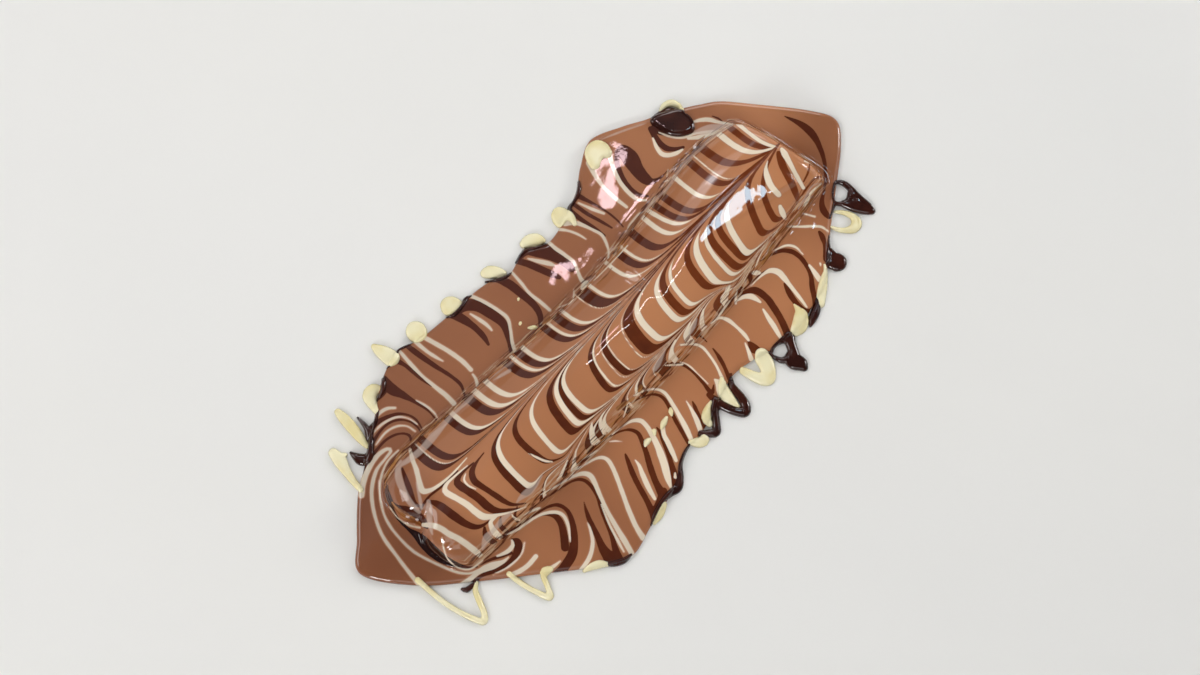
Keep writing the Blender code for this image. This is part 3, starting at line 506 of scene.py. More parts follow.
# Raised white chocolate on the pool's edge and past it: (along, across, half width).
WHITE_BEADS_AND_GLINTS = (
    ((-17.9, 26.4, 0.6), (-17.4, 26.6, 0.7)),
    ((-11.3, 33.6, 0.5), (-10.9, 33.9, 0.6)),
    ((-106.6, 26.5, 1.2), (-106.3, 31, 1.4), (-105.4, 36, 1.9), (-104.2, 40.6, 2.6), (-103.9, 44.6, 1.9)),
    ((-103, 41.6, 1.6), (-101.4, 40.6, 1.0)),
    ((-93, 37, 1.2), (-92.6, 41, 1.9), (-92, 46, 2.2), (-91.6, 51, 2.1), (-91.4, 54.6, 1.4)),
    ((-81, 43.6, 1.2), (-80, 47, 2.0), (-78.4, 50, 2.9), (-76, 50.6, 2.6), (-74.4, 50, 1.6)),
    ((-62, 54, 3.4), (-62.4, 57, 3.1), (-63, 60, 2.3), (-63.4, 62.6, 1.2)),
    ((-48.0, 53.6, 3.9), (-47.7, 54.8, 4.1), (-47.5, 56.2, 2.9)),
    ((-32.6, 51.4, 2.6), (-31.2, 52.4, 3.7), (-29.6, 51.4, 2.8), (-28, 50.3, 1.4)),
    ((-12.2, 51.2, 1.9), (-10.6, 50.2, 2.7), (-8.6, 47.8, 2.4), (-7, 45.8, 1.2)),
    ((7, 48.2, 1.7), (9.4, 47.4, 2.8), (11.6, 45.8, 2.8), (13.2, 43.8, 1.3)),
    ((22.8, 43.4, 1.6), (24.6, 45, 3.2), (25.8, 46.2, 3.2), (27.2, 44, 2.4), (27.4, 41, 1.6),
     (26.6, 38.6, 1.0)),
    ((50.2, 49.6, 2.2), (51.8, 51.6, 3.2), (54.4, 53.2, 4.4), (56.4, 52.4, 3.6), (57, 49.6, 2.4)),
    ((85.6, 46.0, 0.9), (88.4, 46.5, 1.3), (91.2, 45.1, 1.7), (92.3, 42.0, 1.2), (91.8, 39.6, 0.6)),
    ((-116, -13.6, 1.2), (-115.8, -21, 1.1), (-115, -28, 1.1), (-113.4, -35, 1.1), (-111.4, -40.4, 1.2),
     (-109.9, -42.6, 1.3), (-107.6, -40.2, 1.2), (-105.8, -36, 1.2), (-104, -32.2, 1.1),
     (-101.6, -30.4, 0.9)),
    ((-90.7, -37.4, 1.1), (-90.2, -42.6, 1.1), (-88.8, -48.8, 1.1), (-86.5, -54.6, 1.3),
     (-84.2, -51.2, 1.1), (-82.4, -47.4, 1.2), (-80.6, -46.8, 1.8), (-78.8, -47.6, 1.3)),
    ((-70.4, -57.4, 0.7), (-67.4, -58.4, 1.4), (-64.6, -60.0, 1.6), (-62.6, -62.2, 0.9)),
    ((-39, -64.8, 0.6), (-35, -64.2, 1.4), (-31, -62.7, 1.1)),
    ((-6.6, -54, 0.9), (-4.2, -56.4, 2.1), (-1.9, -57.2, 2.0), (-0.4, -55.2, 1.0)),
    ((10.6, -49.2, 0.5), (7.6, -50, 1.3), (4.8, -52, 2.0), (4.0, -54.6, 1.4)),
    ((20.4, -45.8, 0.6), (18.6, -48, 1.8), (16.8, -51.4, 2.7), (16.6, -54.6, 2.0), (16.6, -58, 1.0)),
    ((28.6, -50.2, 1.6), (29.8, -54.6, 2.1), (31.6, -58.4, 2.6), (33.6, -59.4, 2.6), (36.5, -55.5, 3.2),
     (37.6, -52.4, 3.2), (38, -51, 2.4)),
    ((61.6, -47.4, 0.5), (61, -50.4, 1.6), (59.6, -53, 3.2), (57, -54.4, 3.2), (54.6, -54.6, 2.3)),
    ((69.6, -54.8, 1.6), (72, -52.8, 2.0), (75, -50.8, 2.0), (78, -49, 1.6), (80.6, -47.4, 1.0),
     (82, -45.4, 0.5)),
    ((96.2, -37.2, 0.7), (97.4, -40, 1.0), (99.4, -42.4, 1.3), (102, -44, 2.0), (104.4, -43.4, 2.2),
     (105.4, -41, 1.6), (104.8, -38.2, 1.2), (103.4, -35.6, 0.9), (102, -34, 0.6)),
    # The next four small drops in a row stand in for glints of a warm lamp on the pool: painted glints made
    # as raised white chocolate.
    ((-19.6, -42.2, 0.5), (-18.0, -41.6, 1.3), (-16.4, -41.8, 0.7)),
    ((-13.8, -41.8, 0.6), (-13.0, -40.8, 1.0)),
    ((-10.2, -42.2, 0.6), (-8.2, -41.4, 1.3), (-6.0, -40.8, 0.8)),
    ((-3.8, -41.6, 0.5), (-3.0, -40.4, 1.0), (-2.2, -39.6, 0.6)),
    ((-16.6, 22.8, 0.6), (-15.2, 21.4, 1.1), (-14.2, 20.4, 0.6)),
)

# Raised dark chocolate at the pool's edge and past it: (along, across, half width).
DARK_BEADS = (
    ((-99.2, 39.6, 0.6), (-98.9, 37, 1.6), (-98.2, 34.6, 2.4), (-96.6, 33.2, 2.2), (-94.2, 33.6, 1.8)),
    ((-94.8, 33.6, 1.6), (-92, 35.6, 1.6), (-89.6, 39, 1.6), (-88.2, 42, 1.2), (-87.8, 45, 0.8),
     (-87.7, 47.4, 0.4)),
    ((-90.4, 38.4, 1.6), (-87.2, 40.2, 1.6), (-84, 41.0, 1.0), (-80.4, 43.0, 0.6)),
    ((-78.2, 46.6, 0.5), (-75.2, 46.8, 0.9), (-72.4, 48, 1.2), (-70.2, 50.4, 1.1)),
    ((-66.0, 52.6, 0.4), (-62.4, 52.0, 0.7), (-60, 53, 0.8), (-58, 54.4, 0.7), (-54.8, 53.2, 0.7),
     (-52.2, 52.4, 0.4)),
    ((-35.4, 49.6, 0.6), (-32.4, 48.0, 1.0), (-28.6, 48.3, 1.0), (-25, 49.4, 1.0), (-22.8, 48.8, 0.6)),
    ((-14.6, 48.6, 0.4), (-11.2, 45.8, 0.9), (-8, 44.0, 1.0), (-5.2, 43.6, 0.5)),
    ((-0.6, 45.2, 0.5), (3, 45.8, 0.9), (6, 45.6, 1.1), (9.2, 43.4, 1.0), (13, 41.8, 0.5)),
    ((29, 43.2, 0.8), (30.4, 45.0, 1.0), (34.6, 45.6, 0.9), (37.8, 47, 1.1), (40.8, 49.8, 0.6)),
    ((80.6, 44.2, 2.4), (82.8, 41.4, 4.2), (85.0, 38, 5.6), (86.6, 35.4, 5.0), (87.2, 32.8, 3.0)),
    ((81.4, 45.4, 1.7), (84.6, 43.8, 2.8), (87.6, 42.2, 2.8), (89.4, 39, 2.2)),
    ((-107.0, -28.2, 0.7), (-106.0, -29.6, 1.2), (-103.4, -30, 0.9), (-100.4, -30.2, 0.5)),
    ((-63.0, -61.8, 0.6), (-60.8, -63.8, 1.2), (-57.4, -65.8, 1.2), (-53.8, -66.4, 0.6)),
    ((-40.4, -64.4, 0.4), (-35.8, -62.5, 0.9), (-30.8, -61.4, 1.0), (-26.4, -61.6, 1.4),
     (-22.6, -62.2, 1.8), (-18.8, -60, 1.3), (-15.4, -57, 0.9), (-10.8, -55, 0.7), (-6.2, -54.2, 0.4)),
    ((-1.2, -54.6, 1.2), (1.2, -57, 1.7), (3.4, -58.6, 1.8), (6, -56.2, 1.7), (9, -52.8, 1.7),
     (11.8, -51, 1.8)),
    ((12.2, -50.4, 1.8), (13.3, -55.2, 1.8), (15.1, -59.4, 1.9), (17, -61.5, 2.1), (19.1, -59.8, 1.9),
     (20.3, -55.6, 1.8), (20.9, -51.2, 1.6), (23, -48.8, 0.8)),
    ((40.4, -53.4, 0.8), (41.0, -55.6, 0.9), (42.0, -58.4, 1.3), (44, -59.6, 1.6), (46.2, -59.2, 1.6)),
    ((50.6, -54.4, 2.2), (49.4, -56.6, 2.2), (48.0, -59, 2.2), (46.4, -61, 2.6)),
    ((43.6, -60.6, 1.6), (45.0, -62.6, 3.2), (46.0, -64.6, 2.9), (45.8, -66.8, 1.6)),
    ((49.6, -57.4, 1.0), (51.6, -56.2, 0.8), (52.8, -55, 0.5)),
    ((41.2, -53.6, 0.8), (43.4, -52.7, 0.7), (46, -52.9, 0.8), (48.6, -53.6, 1.4)),
    ((60, -57.7, 0.5), (62.6, -56.4, 1.7), (65.6, -55.4, 1.9), (68.4, -54, 1.4), (70, -52.6, 0.9)),
    ((84.4, -46.6, 2.0), (86.4, -47.6, 3.6), (86.9, -48.4, 3.8)),
    ((88.4, -43.2, 1.4), (87, -45.4, 2.6)),
    ((88.6, -43, 0.6), (90.4, -40.6, 0.7), (92.6, -39, 0.5)),
    ((98, -34.4, 0.4), (101.2, -33.0, 0.5), (104.2, -31.8, 0.8)),
    ((104.8, -31.6, 0.9), (105.8, -29.2, 0.6), (108.4, -27.2, 0.6), (111.2, -26.2, 0.7), (113, -27.6, 1.1),
     (113.6, -30.6, 1.4), (113.4, -33.6, 1.4)),
    ((104.8, -31.8, 1.0), (106.6, -33.9, 1.0), (109.6, -34.6, 1.2), (112, -33.6, 1.4)),
    ((107, -34.4, 1.6), (109.4, -38, 2.8), (111.4, -42, 2.6), (112.4, -44.6, 1.5)),
    ((112.8, -34.6, 1.9), (112.6, -38, 1.9), (113, -42, 1.6)),
)
# How high a bead stands, how far in from its outline it rounds over, how many times its valleys are
# softened, how far it sinks into what it lies on, and the low step at its rim.
BEAD_RISE = 1.5
BEAD_ROUNDING = 1.6
BEAD_SOFTENING = 4
BEAD_SINK = 0.3
RIM_STEP = 0.05
# The grid that the beads are cut from: its middle, how far it reaches each way, and its cells.
BEAD_MIDDLE = (1.0, -2.0)
BEAD_REACH = (122.0, 70.0)
BEAD_STEPS = (610, 350)

# ---------------------------------------------------------------- colours, as the screen shows them
MILK_PALE = (190, 128, 87)
MILK_DEEP = (126, 76, 52)
MILK_HALO = (180, 130, 100)
DARK = (74, 31, 16)
DARK_THIN = (120, 56, 22)
DARK_THICK = (38, 15, 12)
WHITE = (202, 188, 168)
WHITE_PURE = (238, 221, 196)
# Colour of the painted reflections of the lamps in the sauce.
PAINTED_REFLECTION = (200, 178, 164)
BEAD_WHITE = (241, 232, 192)
BEAD_WHITE_DEEP = (232, 217, 160)
BEAD_DARK = (44, 15, 9)
BEAD_DARK_WARM = (62, 25, 15)
BROWNED = (176, 118, 62)
BROWNED_DEEP = (118, 66, 30)
BATTER = (214, 172, 104)
FLOOR = (239, 237, 232)
THREAD = (204, 174, 142)
# How strongly the painted reflections cover the sauce's colour.
PAINTED_REFLECTION_SHARE = 0.55

# How pale the milk chocolate is along the food, 0 deep to 1 pale: on both sides of the pool and of the coat.
# This paleness is partly the chocolate's own tone and partly painted shade: left sides darker, right sides
# lighter, as the light falls.
LEFT_POOL_TONE_AND_SHADE = ((-130, 0.04), (-100, 0.08), (-76, 0.16), (-40, 0.31), (0, 0.29), (40, 0.34), (70, 0.6),
                  (95, 0.32), (104, 0.6), (112, 1.0), (128, 0.6))
RIGHT_POOL_TONE_AND_SHADE = ((-130, 0.04), (-104, 0.15), (-75, 0.54), (-50, 0.38), (-20, 0.73), (20, 0.75), (70, 0.79),
                   (95, 0.5), (105, 0.15), (120, 0.25))
LEFT_COAT_TONE_AND_SHADE = ((-105, 0.15), (-92, 0.2), (-80, 0.47), (30, 0.53), (70, 0.64), (88, 0.92), (107, 0.88))
RIGHT_COAT_TONE_AND_SHADE = ((-105, 0.3), (-92, 0.42), (-80, 0.86), (-40, 0.78), (0, 0.9), (25, 1.08), (107, 1.1))
# Over how many mm, at the crest and across the pool, the right side's tone and painted shade turn to the
# left side's.
COAT_SIDE_BLEND = 6
POOL_SIDE_BLEND = 12
# How thin the dark strokes lie, so that milk chocolate warms them: on both sides of the coat and of the
# pool. Past its near end the pool has no creases, and its dark strokes lie thicker.
LEFT_COAT_THINNING = ((-104, -1.0), (-98, -0.2), (-90, 0.08), (-60, 0.1), (0, 0.22), (40, 0.25), (85, 0.65))
RIGHT_COAT_THINNING = ((-104, -1.0), (-98, -0.4), (-92, 0.12), (-60, 0.28), (0, 0.35), (30, 0.62),
                       (85, 0.75))
RIGHT_POOL_THINNING = ((-100, 0.1), (-60, 0.2), (-20, 0.36), (60, 0.36), (100, 0.3))
LEFT_POOL_THINNING = 0.08
NEAR_POOL_AT = -100
NEAR_POOL_THICKENING = 1.1


def linear(colour):
    """A screen colour of 0 to 255 as the light values that shaders take."""
    values = []
    for channel in colour:
        share = channel / 255
        values.append(share / 12.92 if share <= 0.04045 else ((share + 0.055) / 1.055) ** 2.4)
    return (*values, 1.0)


# ---------------------------------------------------------------- curves and surfaces
def smooth_value(points, at):
    """Heights at `at` of the smooth curve through (place, value) points, flat past its ends."""
    places = np.array([point[0] for point in points], float)
    values = np.array([point[1] for point in points], float)
    at = np.clip(at, places[0], places[-1])
    left = np.clip(np.searchsorted(places, at, side="right") - 1, 0, len(points) - 2)
    before = np.maximum(left - 1, 0)
    after = np.minimum(left + 2, len(points) - 1)
    width = places[left + 1] - places[left]
    t = (at - places[left]) / width
    slope_start = (values[left + 1] - values[before]) / (places[left + 1] - places[before]) * width
    slope_end = (values[after] - values[left]) / (places[after] - places[left]) * width
    return (
        (2 * t**3 - 3 * t**2 + 1) * values[left]
        + (t**3 - 2 * t**2 + t) * slope_start
        + (3 * t**2 - 2 * t**3) * values[left + 1]
        + (t**3 - t**2) * slope_end
    )


def smooth_path(points, closed=False, spacing=0.7):
    """The Catmull-Rom curve through given points, every `spacing` or so, with all their columns."""
    points = np.array(points, float)
    count = len(points)
    pieces = []
    for index in range(count if closed else count - 1):
        if closed:
            before, start, end, after = (points[(index + k) % count] for k in (-1, 0, 1, 2))
        else:
            before, start, end, after = (points[min(max(index + k, 0), count - 1)] for k in (-1, 0, 1, 2))
        steps = max(int(np.hypot(*(end - start)[:2]) / spacing), 2)
        t = (np.arange(steps) / steps)[:, None]
        pieces.append(0.5 * (
            2 * start
            + (end - before) * t
            + (2 * before - 5 * start + 4 * end - after) * t**2
            + (3 * start - before - 3 * end + after) * t**3
        ))
    if not closed:
        pieces.append(points[-1:])
    return np.concatenate(pieces)


def end_fall(share):
    """A quarter round: 0 at the end itself, 1 once the rounding is passed."""
    return np.sqrt(np.clip(1 - np.clip(1 - share, 0, None) ** 2, 0, None))


def hump(away, width):
    """1 where `away` is 0, with a soft fall to 0 on both sides."""
    return np.exp(-((away / width) ** 2))


def furrow(across):
    """1 in the furrow's bottom, 0 away from it."""
    return hump(across - FURROW_AT, FURROW_WIDTH)


def window(values, limits, border):
    """1 between two limits, with smooth borders outside them down to 0."""
    rise = np.clip((values - limits[0]) / border + 1, 0, 1)
    fall = np.clip((limits[1] - values) / border + 1, 0, 1)
    return rise**2 * (3 - 2 * rise) * fall**2 * (3 - 2 * fall)


def slump(u, v):
    """1 on the flat slumped shoulder, 0 away from it."""
    further = np.clip(u - SLUMP_ALONG[0], 0, None)
    limits = (SLUMP_ACROSS[0] - SLUMP_SLANT[0] * further, SLUMP_ACROSS[1] + SLUMP_SLANT[1] * further)
    return window(u, SLUMP_ALONG, SLUMP_BORDER) * window(v, limits, SLUMP_BORDER)


def near_foot(across):
    """Where the roll's near end meets the ground, for shares across from -1 to 1."""
    return NEAR_END + NEAR_CORNER[0] * np.abs(across) ** NEAR_CORNER[1] + FURROW_NOTCH * furrow(across)


def roll_surface(along, across):
    """Points (along, across, height) of the roll's smooth top, for shares from -1 to 1."""
    near = near_foot(across)
    far = FAR_END - FAR_CORNER[0] * np.abs(across) ** FAR_CORNER[1] + FAR_END_SKEW * across
    u = near + (far - near) * (along + 1) / 2
    left = smooth_value(LEFT_FOOT, u)
    right = smooth_value(RIGHT_FOOT, u)
    v = (left + right) / 2 + (left - right) / 2 * across
    slid = across - smooth_value(CREST_SLIDE, u) * (1 - across**2) ** 2
    section = np.sqrt(np.clip(1 - np.abs(slid) ** SECTION_POWER, 0, None))
    ends = end_fall((u - near) / NEAR_ROUNDING) * end_fall((far - u) / FAR_ROUNDING)
    dip = 1 - FURROW_DEPTH * furrow(across) * np.exp(-(u - near) / FURROW_REACH)
    top = smooth_value(CREST_HEIGHT, u) * ends * dip
    return u, v, top * (section + slump(u, v) * (1 - section))


def waves(u, v, size, seed):
    """Smooth, uneven swell between about -1 and 1, with humps of about `size`."""
    draw = np.random.default_rng(seed)
    total = np.zeros_like(u)
    parts = 7
    for _ in range(parts):
        angle = draw.uniform(0, 2 * math.pi)
        pitch = 2 * math.pi / (size * draw.uniform(0.7, 1.6))
        phase = draw.uniform(0, 2 * math.pi)
        total += np.sin((u * math.cos(angle) + v * math.sin(angle)) * pitch + phase)
    return total / parts ** 0.5 / 1.5


def from_right_to_left(right, left, u, left_share):
    """A value along the food, from the right side's curve over to the left side's."""
    value = smooth_value(right, u)
    return value + (smooth_value(left, u) - value) * left_share


def seen_from_above(u, v, z):
    """Where the eye above sees a point, as a place on the ground."""
    stretch = EYE[2] / (EYE[2] - z)
    return EYE[0] + (u - EYE[0]) * stretch, EYE[1] + (v - EYE[1]) * stretch


# ---------------------------------------------------------------- marbling
# Distances from a stroke are worked out up to this far.
FAR_AWAY = 3.0
# The last kind of stroke is painted reflection.
STROKE_KINDS = ("white", "dark", "browned", "painted_reflection")


def drag(distance, drags):
    """How far a comb line carries a stroke at a distance from it, and how steeply that changes."""
    carried = sum(length * np.exp(-distance / fade) for length, fade in drags)
    slope = sum(length / fade * np.exp(-distance / fade) for length, fade in drags)
    return carried, slope


def path_distance(u, v, stroke):
    """Distance in mm from the edge of one stroke, negative inside it."""
    path = smooth_path(stroke)
    result = np.full(u.shape, FAR_AWAY)
    margin = FAR_AWAY + path[:, 2].max() / 2
    near = np.flatnonzero(
        (u > path[:, 0].min() - margin) & (u < path[:, 0].max() + margin)
        & (v > path[:, 1].min() - margin) & (v < path[:, 1].max() + margin)
    )
    if not len(near):
        return result
    close_u, close_v, close = u[near], v[near], result[near]
    for start, end in zip(path[:-1], path[1:]):
        run = end[:2] - start[:2]
        t = ((close_u - start[0]) * run[0] + (close_v - start[1]) * run[1]) / max(run @ run, 1e-9)
        t = np.clip(t, 0, 1)
        away = np.hypot(close_u - start[0] - t * run[0], close_v - start[1] - t * run[1])
        close = np.minimum(close, away - (start[2] + t * (end[2] - start[2])) / 2)
    result[near] = close
    return result


def combed_centre(stroke, u, v, read_at, drags):
    """Where one stroke's centre runs on a flank, and how steeply: it is dragged along at the crest line."""
    _, place, _, lean = stroke
    crest = smooth_value(CREST_LINE, u)
    flank = smooth_value(FLANK_LINE, u)
    side = -1.0 if read_at > 0 else 1.0
    share = min(1.0, (DRAG_LIMIT - place) / CREST_EASING)
    if place > FAR_END_STROKES:
        share = 1.0
        drags = ((DRAG_LIMIT - place, FAR_END_FADE),)
    carried, slope = drag(np.abs(v - crest), drags)
    at_read, _ = drag(abs(read_at - float(smooth_value(CREST_LINE, place))), drags)
    centre = place + lean * (np.maximum(v, flank) - read_at) + share * (carried - at_read)
    slope = lean + share * slope * side
    if read_at < 0:
        reach = min(1.0, (DRAG_LIMIT - place) / FLANK_EASING)
        pulled, pulled_slope = drag(np.abs(v - flank), ((FLANK_DRAG[0] * reach, FLANK_DRAG[1]),))
        below = v < flank
        centre = centre + pulled + below * smooth_value(FOOT_SLIP, u)
        slope = np.where(below, 0, slope) + pulled_slope * np.where(below, 1.0, -1.0)
    return centre, slope


def no_strokes(u):
    """Edge distances before any stroke is laid, for each kind."""
    return {kind: np.full(u.shape, FAR_AWAY) for kind in STROKE_KINDS}


def flank_marbling(u, v):
    """Edge distances of the combed strokes on the roll, for each kind."""
    nearest = no_strokes(u)
    on_left = v >= smooth_value(CREST_LINE, u)
    flanks = (
        (LEFT_STROKES, on_left, LEFT_READ, LEFT_DRAG),
        (RIGHT_STROKES, ~on_left, RIGHT_READ, RIGHT_DRAG),
    )
    for strokes, here, read_at, drags in flanks:
        for stroke in strokes:
            centre, slope = combed_centre(stroke, u, v, read_at, drags)
            away = (np.abs(u - centre) - stroke[2] / 2) / np.sqrt(1 + slope**2)
            closer = np.minimum(nearest[stroke[0]], away)
            nearest[stroke[0]] = np.where(here, closer, nearest[stroke[0]])
    return nearest


def lay_strokes(nearest, u, v, *groups):
    """Adds strokes with paths of their own to the edge distances."""
    for group in groups:
        for colour, stroke in group:
            nearest[colour] = np.minimum(nearest[colour], path_distance(u, v, stroke))


# ---------------------------------------------------------------- meshes
def grid_mesh(name, steps_x, steps_y):
    """A flat grid over -1..1 made by the grid operator, and its corner places."""
    shape = bmesh.new()
    bmesh.ops.create_grid(shape, x_segments=steps_x, y_segments=steps_y, size=1.0)
    mesh = bpy.data.meshes.new(name)
    shape.to_mesh(mesh)
    shape.free()
    places = np.empty(len(mesh.vertices) * 3)
    mesh.vertices.foreach_get("co", places)
    return mesh, places.reshape(-1, 3)


def place_points(mesh, u, v, z):
    """Moves a mesh's points to reading places in mm."""
    points = np.stack(((u + FOOTPRINT_SHIFT[0]) * MM, (v + FOOTPRINT_SHIFT[1]) * MM, z * MM), axis=1)
    mesh.vertices.foreach_set("co", points.ravel())
    mesh.update()


def keep_values(mesh, **values):
    """Stores one number for each point under each name, for the materials to read."""
    for name, numbers in values.items():
        layer = mesh.attributes.new(name, "FLOAT", "POINT")
        layer.data.foreach_set("value", numbers.astype(np.float32))


def keep_marbling(mesh, nearest, **values):
    """Stores the strokes' edge distances beside the other values."""
    edges = {f"{kind}_edge": away for kind, away in nearest.items()}
    keep_values(mesh, **edges, **values)


def finish_mesh(name, mesh, materials, close_rim=False, weld=False):
    """Closes the mesh, turns its faces outwards and makes it a smooth-shaded object."""
    shape = bmesh.new()
    shape.from_mesh(mesh)
    if weld:
        bmesh.ops.remove_doubles(shape, verts=shape.verts, dist=1e-6)
    if close_rim:
        rim = [edge for edge in shape.edges if edge.is_boundary]
        for face in bmesh.ops.holes_fill(shape, edges=rim, sides=0)["faces"]:
            face.material_index = 1
    bmesh.ops.recalc_face_normals(shape, faces=shape.faces)
    shape.to_mesh(mesh)
    shape.free()
    mesh.shade_smooth()
    for material in materials:
        mesh.materials.append(material)
    piece = bpy.data.objects.new(name, mesh)
    bpy.context.collection.objects.link(piece)
    return piece


def crease_wrinkles(u, from_crease):
    """Fine ridges that run along a crease and die away from it."""
    ripple = waves(u * 0.22, from_crease * 1.6, 2.2, 11) + 0.6 * waves(u * 0.5, from_crease * 2.4, 2.0, 12)
    return ripple * hump(from_crease, 2.2)


def rows_across():
    """Shares across the roll, packed closer beside the two comb lines and at the steep feet."""
    fine = np.linspace(-1, 1, 4001)
    crest_share, flank_share = 0.20, -0.76
    density = (
        1.0
        + 1.9 * hump(fine - crest_share, 0.11)
        + 0.9 * hump(fine - flank_share, 0.10)
        + 1.3 * np.exp(-((1 - np.abs(fine)) / 0.03))
    )
    total = np.cumsum(density)
    total = (total - total[0]) / (total[-1] - total[0])
    return np.interp(np.linspace(0, 1, COAT_STEPS_ACROSS + 1), total, fine)


def coat_marbling(u, v):
    """Edge distances of every stroke on the coat, where dark ones take over along the crest."""
    nearest = flank_marbling(u, v)
    lay_strokes(nearest, u, v, END_STROKES, FOOT_STROKES_AND_SHADOW, CREASE_STROKES_AND_REFLECTIONS, RIGHT_POOL_STROKES)
    fan = hump(v - smooth_value(CREST_LINE, u) + 1, FAN_WIDTH) * smooth_value(FAN_DARKNESS, u)
    nearest["white"] += WHITE_SHRINKS * fan
    nearest["dark"] -= DARK_GROWS * fan
    return nearest


def coat_lift(u, v, across, from_crest, from_flank):
    """How far the coat stands off the smooth roll: its swell, its two comb lines and its wrinkles."""
    lift = UNEVENNESS * waves(u, v * 1.3, SWELL_SIZE, 3) * (1 - CALM_CREST * hump(across, 0.3))
    lift += sum(height * waves(u, v, size, seed) for height, size, seed in SLUMP_RIPPLES) * slump(u, v)
    lift -= GROOVE_DEPTH * hump(from_crest, CREST_GROOVE)
    lift -= GROOVE_DEPTH * hump(from_flank, FLANK_GROOVE)
    lift += WRINKLE_HEIGHT * crease_wrinkles(u, v - smooth_value(LEFT_FOOT, u) + 1.5)
    lift += WRINKLE_HEIGHT * crease_wrinkles(u + 40, v - smooth_value(RIGHT_FOOT, u) - 2.0)
    return lift


def coat_crease(u, v, across):
    """How deep in a crease each place lies, and its distance across the nearest crease or foot."""
    from_left = v - smooth_value(LEFT_FOOT, u)
    from_right = v - smooth_value(RIGHT_FOOT, u)
    crease = np.maximum(hump(from_left, LEFT_CREASE), hump(from_right, RIGHT_CREASE))
    nearer = np.where(np.abs(from_left) < np.abs(from_right), from_left, from_right)
    from_near = u - near_foot(across)
    return crease, np.where(from_near < np.abs(nearer), from_near, nearer)


def make_coat(materials):
    """The chocolate coat on the roll, combed and marbled, with the browned crepe on its underside."""
    mesh, grid = grid_mesh("chocolate_coat", COAT_STEPS_ALONG, COAT_STEPS_ACROSS)
    t = (grid[:, 0] + 1) / 2
    along = np.sin((t - 0.5) * math.pi) * END_CROWDING + (2 * t - 1) * (1 - END_CROWDING)
    across = np.interp((grid[:, 1] + 1) / 2, np.linspace(0, 1, COAT_STEPS_ACROSS + 1), rows_across())
    u, v, z = roll_surface(along, across)
    seen_u, seen_v = seen_from_above(u, v, z)
    from_crest = seen_v - smooth_value(CREST_LINE, seen_u)
    from_flank = seen_v - smooth_value(FLANK_LINE, seen_u)
    lift = coat_lift(u, v, across, from_crest, from_flank)
    place_points(mesh, u, v, z + lift * np.clip(z / FULL_LIFT_HEIGHT, 0, 1))
    crease, across_crease = coat_crease(u, v, across)
    left_share = 0.5 + 0.5 * np.tanh(from_crest / COAT_SIDE_BLEND)
    keep_marbling(mesh, coat_marbling(seen_u, seen_v), crease=crease, across_crease=across_crease,
                  tone=from_right_to_left(RIGHT_COAT_TONE_AND_SHADE, LEFT_COAT_TONE_AND_SHADE, u, left_share),
                  thin=from_right_to_left(RIGHT_COAT_THINNING, LEFT_COAT_THINNING, u, left_share))
    return finish_mesh("chocolate_coat", mesh, materials, close_rim=True)


def foot_outline():
    """The roll's foot as an even loop of (along, across) points, anticlockwise."""
    steps = np.linspace(-1, 1, 1500)
    ones = np.ones_like(steps)
    loops = ((steps, -ones), (ones, steps), (-steps, ones), (-ones, -steps))
    loop = np.concatenate([np.stack(roll_surface(a, b)[:2], axis=1)[:-1] for a, b in loops])
    lengths = np.hypot(*(np.roll(loop, -1, axis=0) - loop).T)
    run = np.concatenate(([0], np.cumsum(lengths)))
    places = np.linspace(0, run[-1], POOL_STEPS_AROUND + 1)
    closed = np.vstack((loop, loop[:1]))
    return np.stack([np.interp(places, run, closed[:, k]) for k in (0, 1)], axis=1)


def way_to_edge(start, direction, edge):
    """How far each ray runs before it meets the closed edge."""
    side = np.stack((-direction[:, 1], direction[:, 0]), axis=1)
    ends = np.roll(edge, -1, axis=0)
    side_a = ((edge[None] - start[:, None]) * side[:, None]).sum(-1)
    side_b = ((ends[None] - start[:, None]) * side[:, None]).sum(-1)
    crossing = side_a * side_b < 0
    share = side_a / np.where(crossing, side_a - side_b, 1)
    hit = edge[None] + (ends - edge)[None] * share[..., None]
    distance = ((hit - start[:, None]) * direction[:, None]).sum(-1)
    return np.where(crossing & (distance > 0), distance, 0).max(axis=1)


def pool_cut():
    """The pool's cut from its foot out over the lip and back below: (share out, height, kept from edge)."""
    cut = [(share, POOL_THICKNESS, POOL_LIP) for share in np.linspace(0, 1, POOL_STEPS_OUT + 1)]
    for step in range(1, LIP_STEPS + 1):
        angle = math.pi / 2 * step / LIP_STEPS
        cut.append((1.0, POOL_THICKNESS * math.cos(angle), POOL_LIP * (1 - math.sin(angle))))
    for step in range(1, UNDERSIDE_STEPS + 1):
        cut.append((1.0 - step / UNDERSIDE_STEPS, 0.0, 0.0))
    cut.append(cut[0])
    return np.array(cut)


def pool_thinning(u, left_share):
    """How thin the pool's dark strokes lie: thick past its near end, thinnest on the right."""
    right = smooth_value(RIGHT_POOL_THINNING, u)
    past_near = np.clip((NEAR_POOL_AT - u) / 3, 0, 1)
    return right + (LEFT_POOL_THINNING - right) * left_share - NEAR_POOL_THICKENING * past_near


def pool_rays():
    """Where each column of the pool starts under the coat, which way it runs, and how far the edge is."""
    foot = foot_outline()
    spine_along = np.clip(foot[:, 0], -SPINE_HALF, SPINE_HALF)
    direction = foot - np.stack((spine_along, np.full(len(foot), SPINE_ACROSS)), axis=1)
    direction /= np.hypot(*direction.T)[:, None]
    start = foot - direction * TUCK_UNDER_COAT
    return start, direction, way_to_edge(start, direction, smooth_path(POOL_EDGE, closed=True))


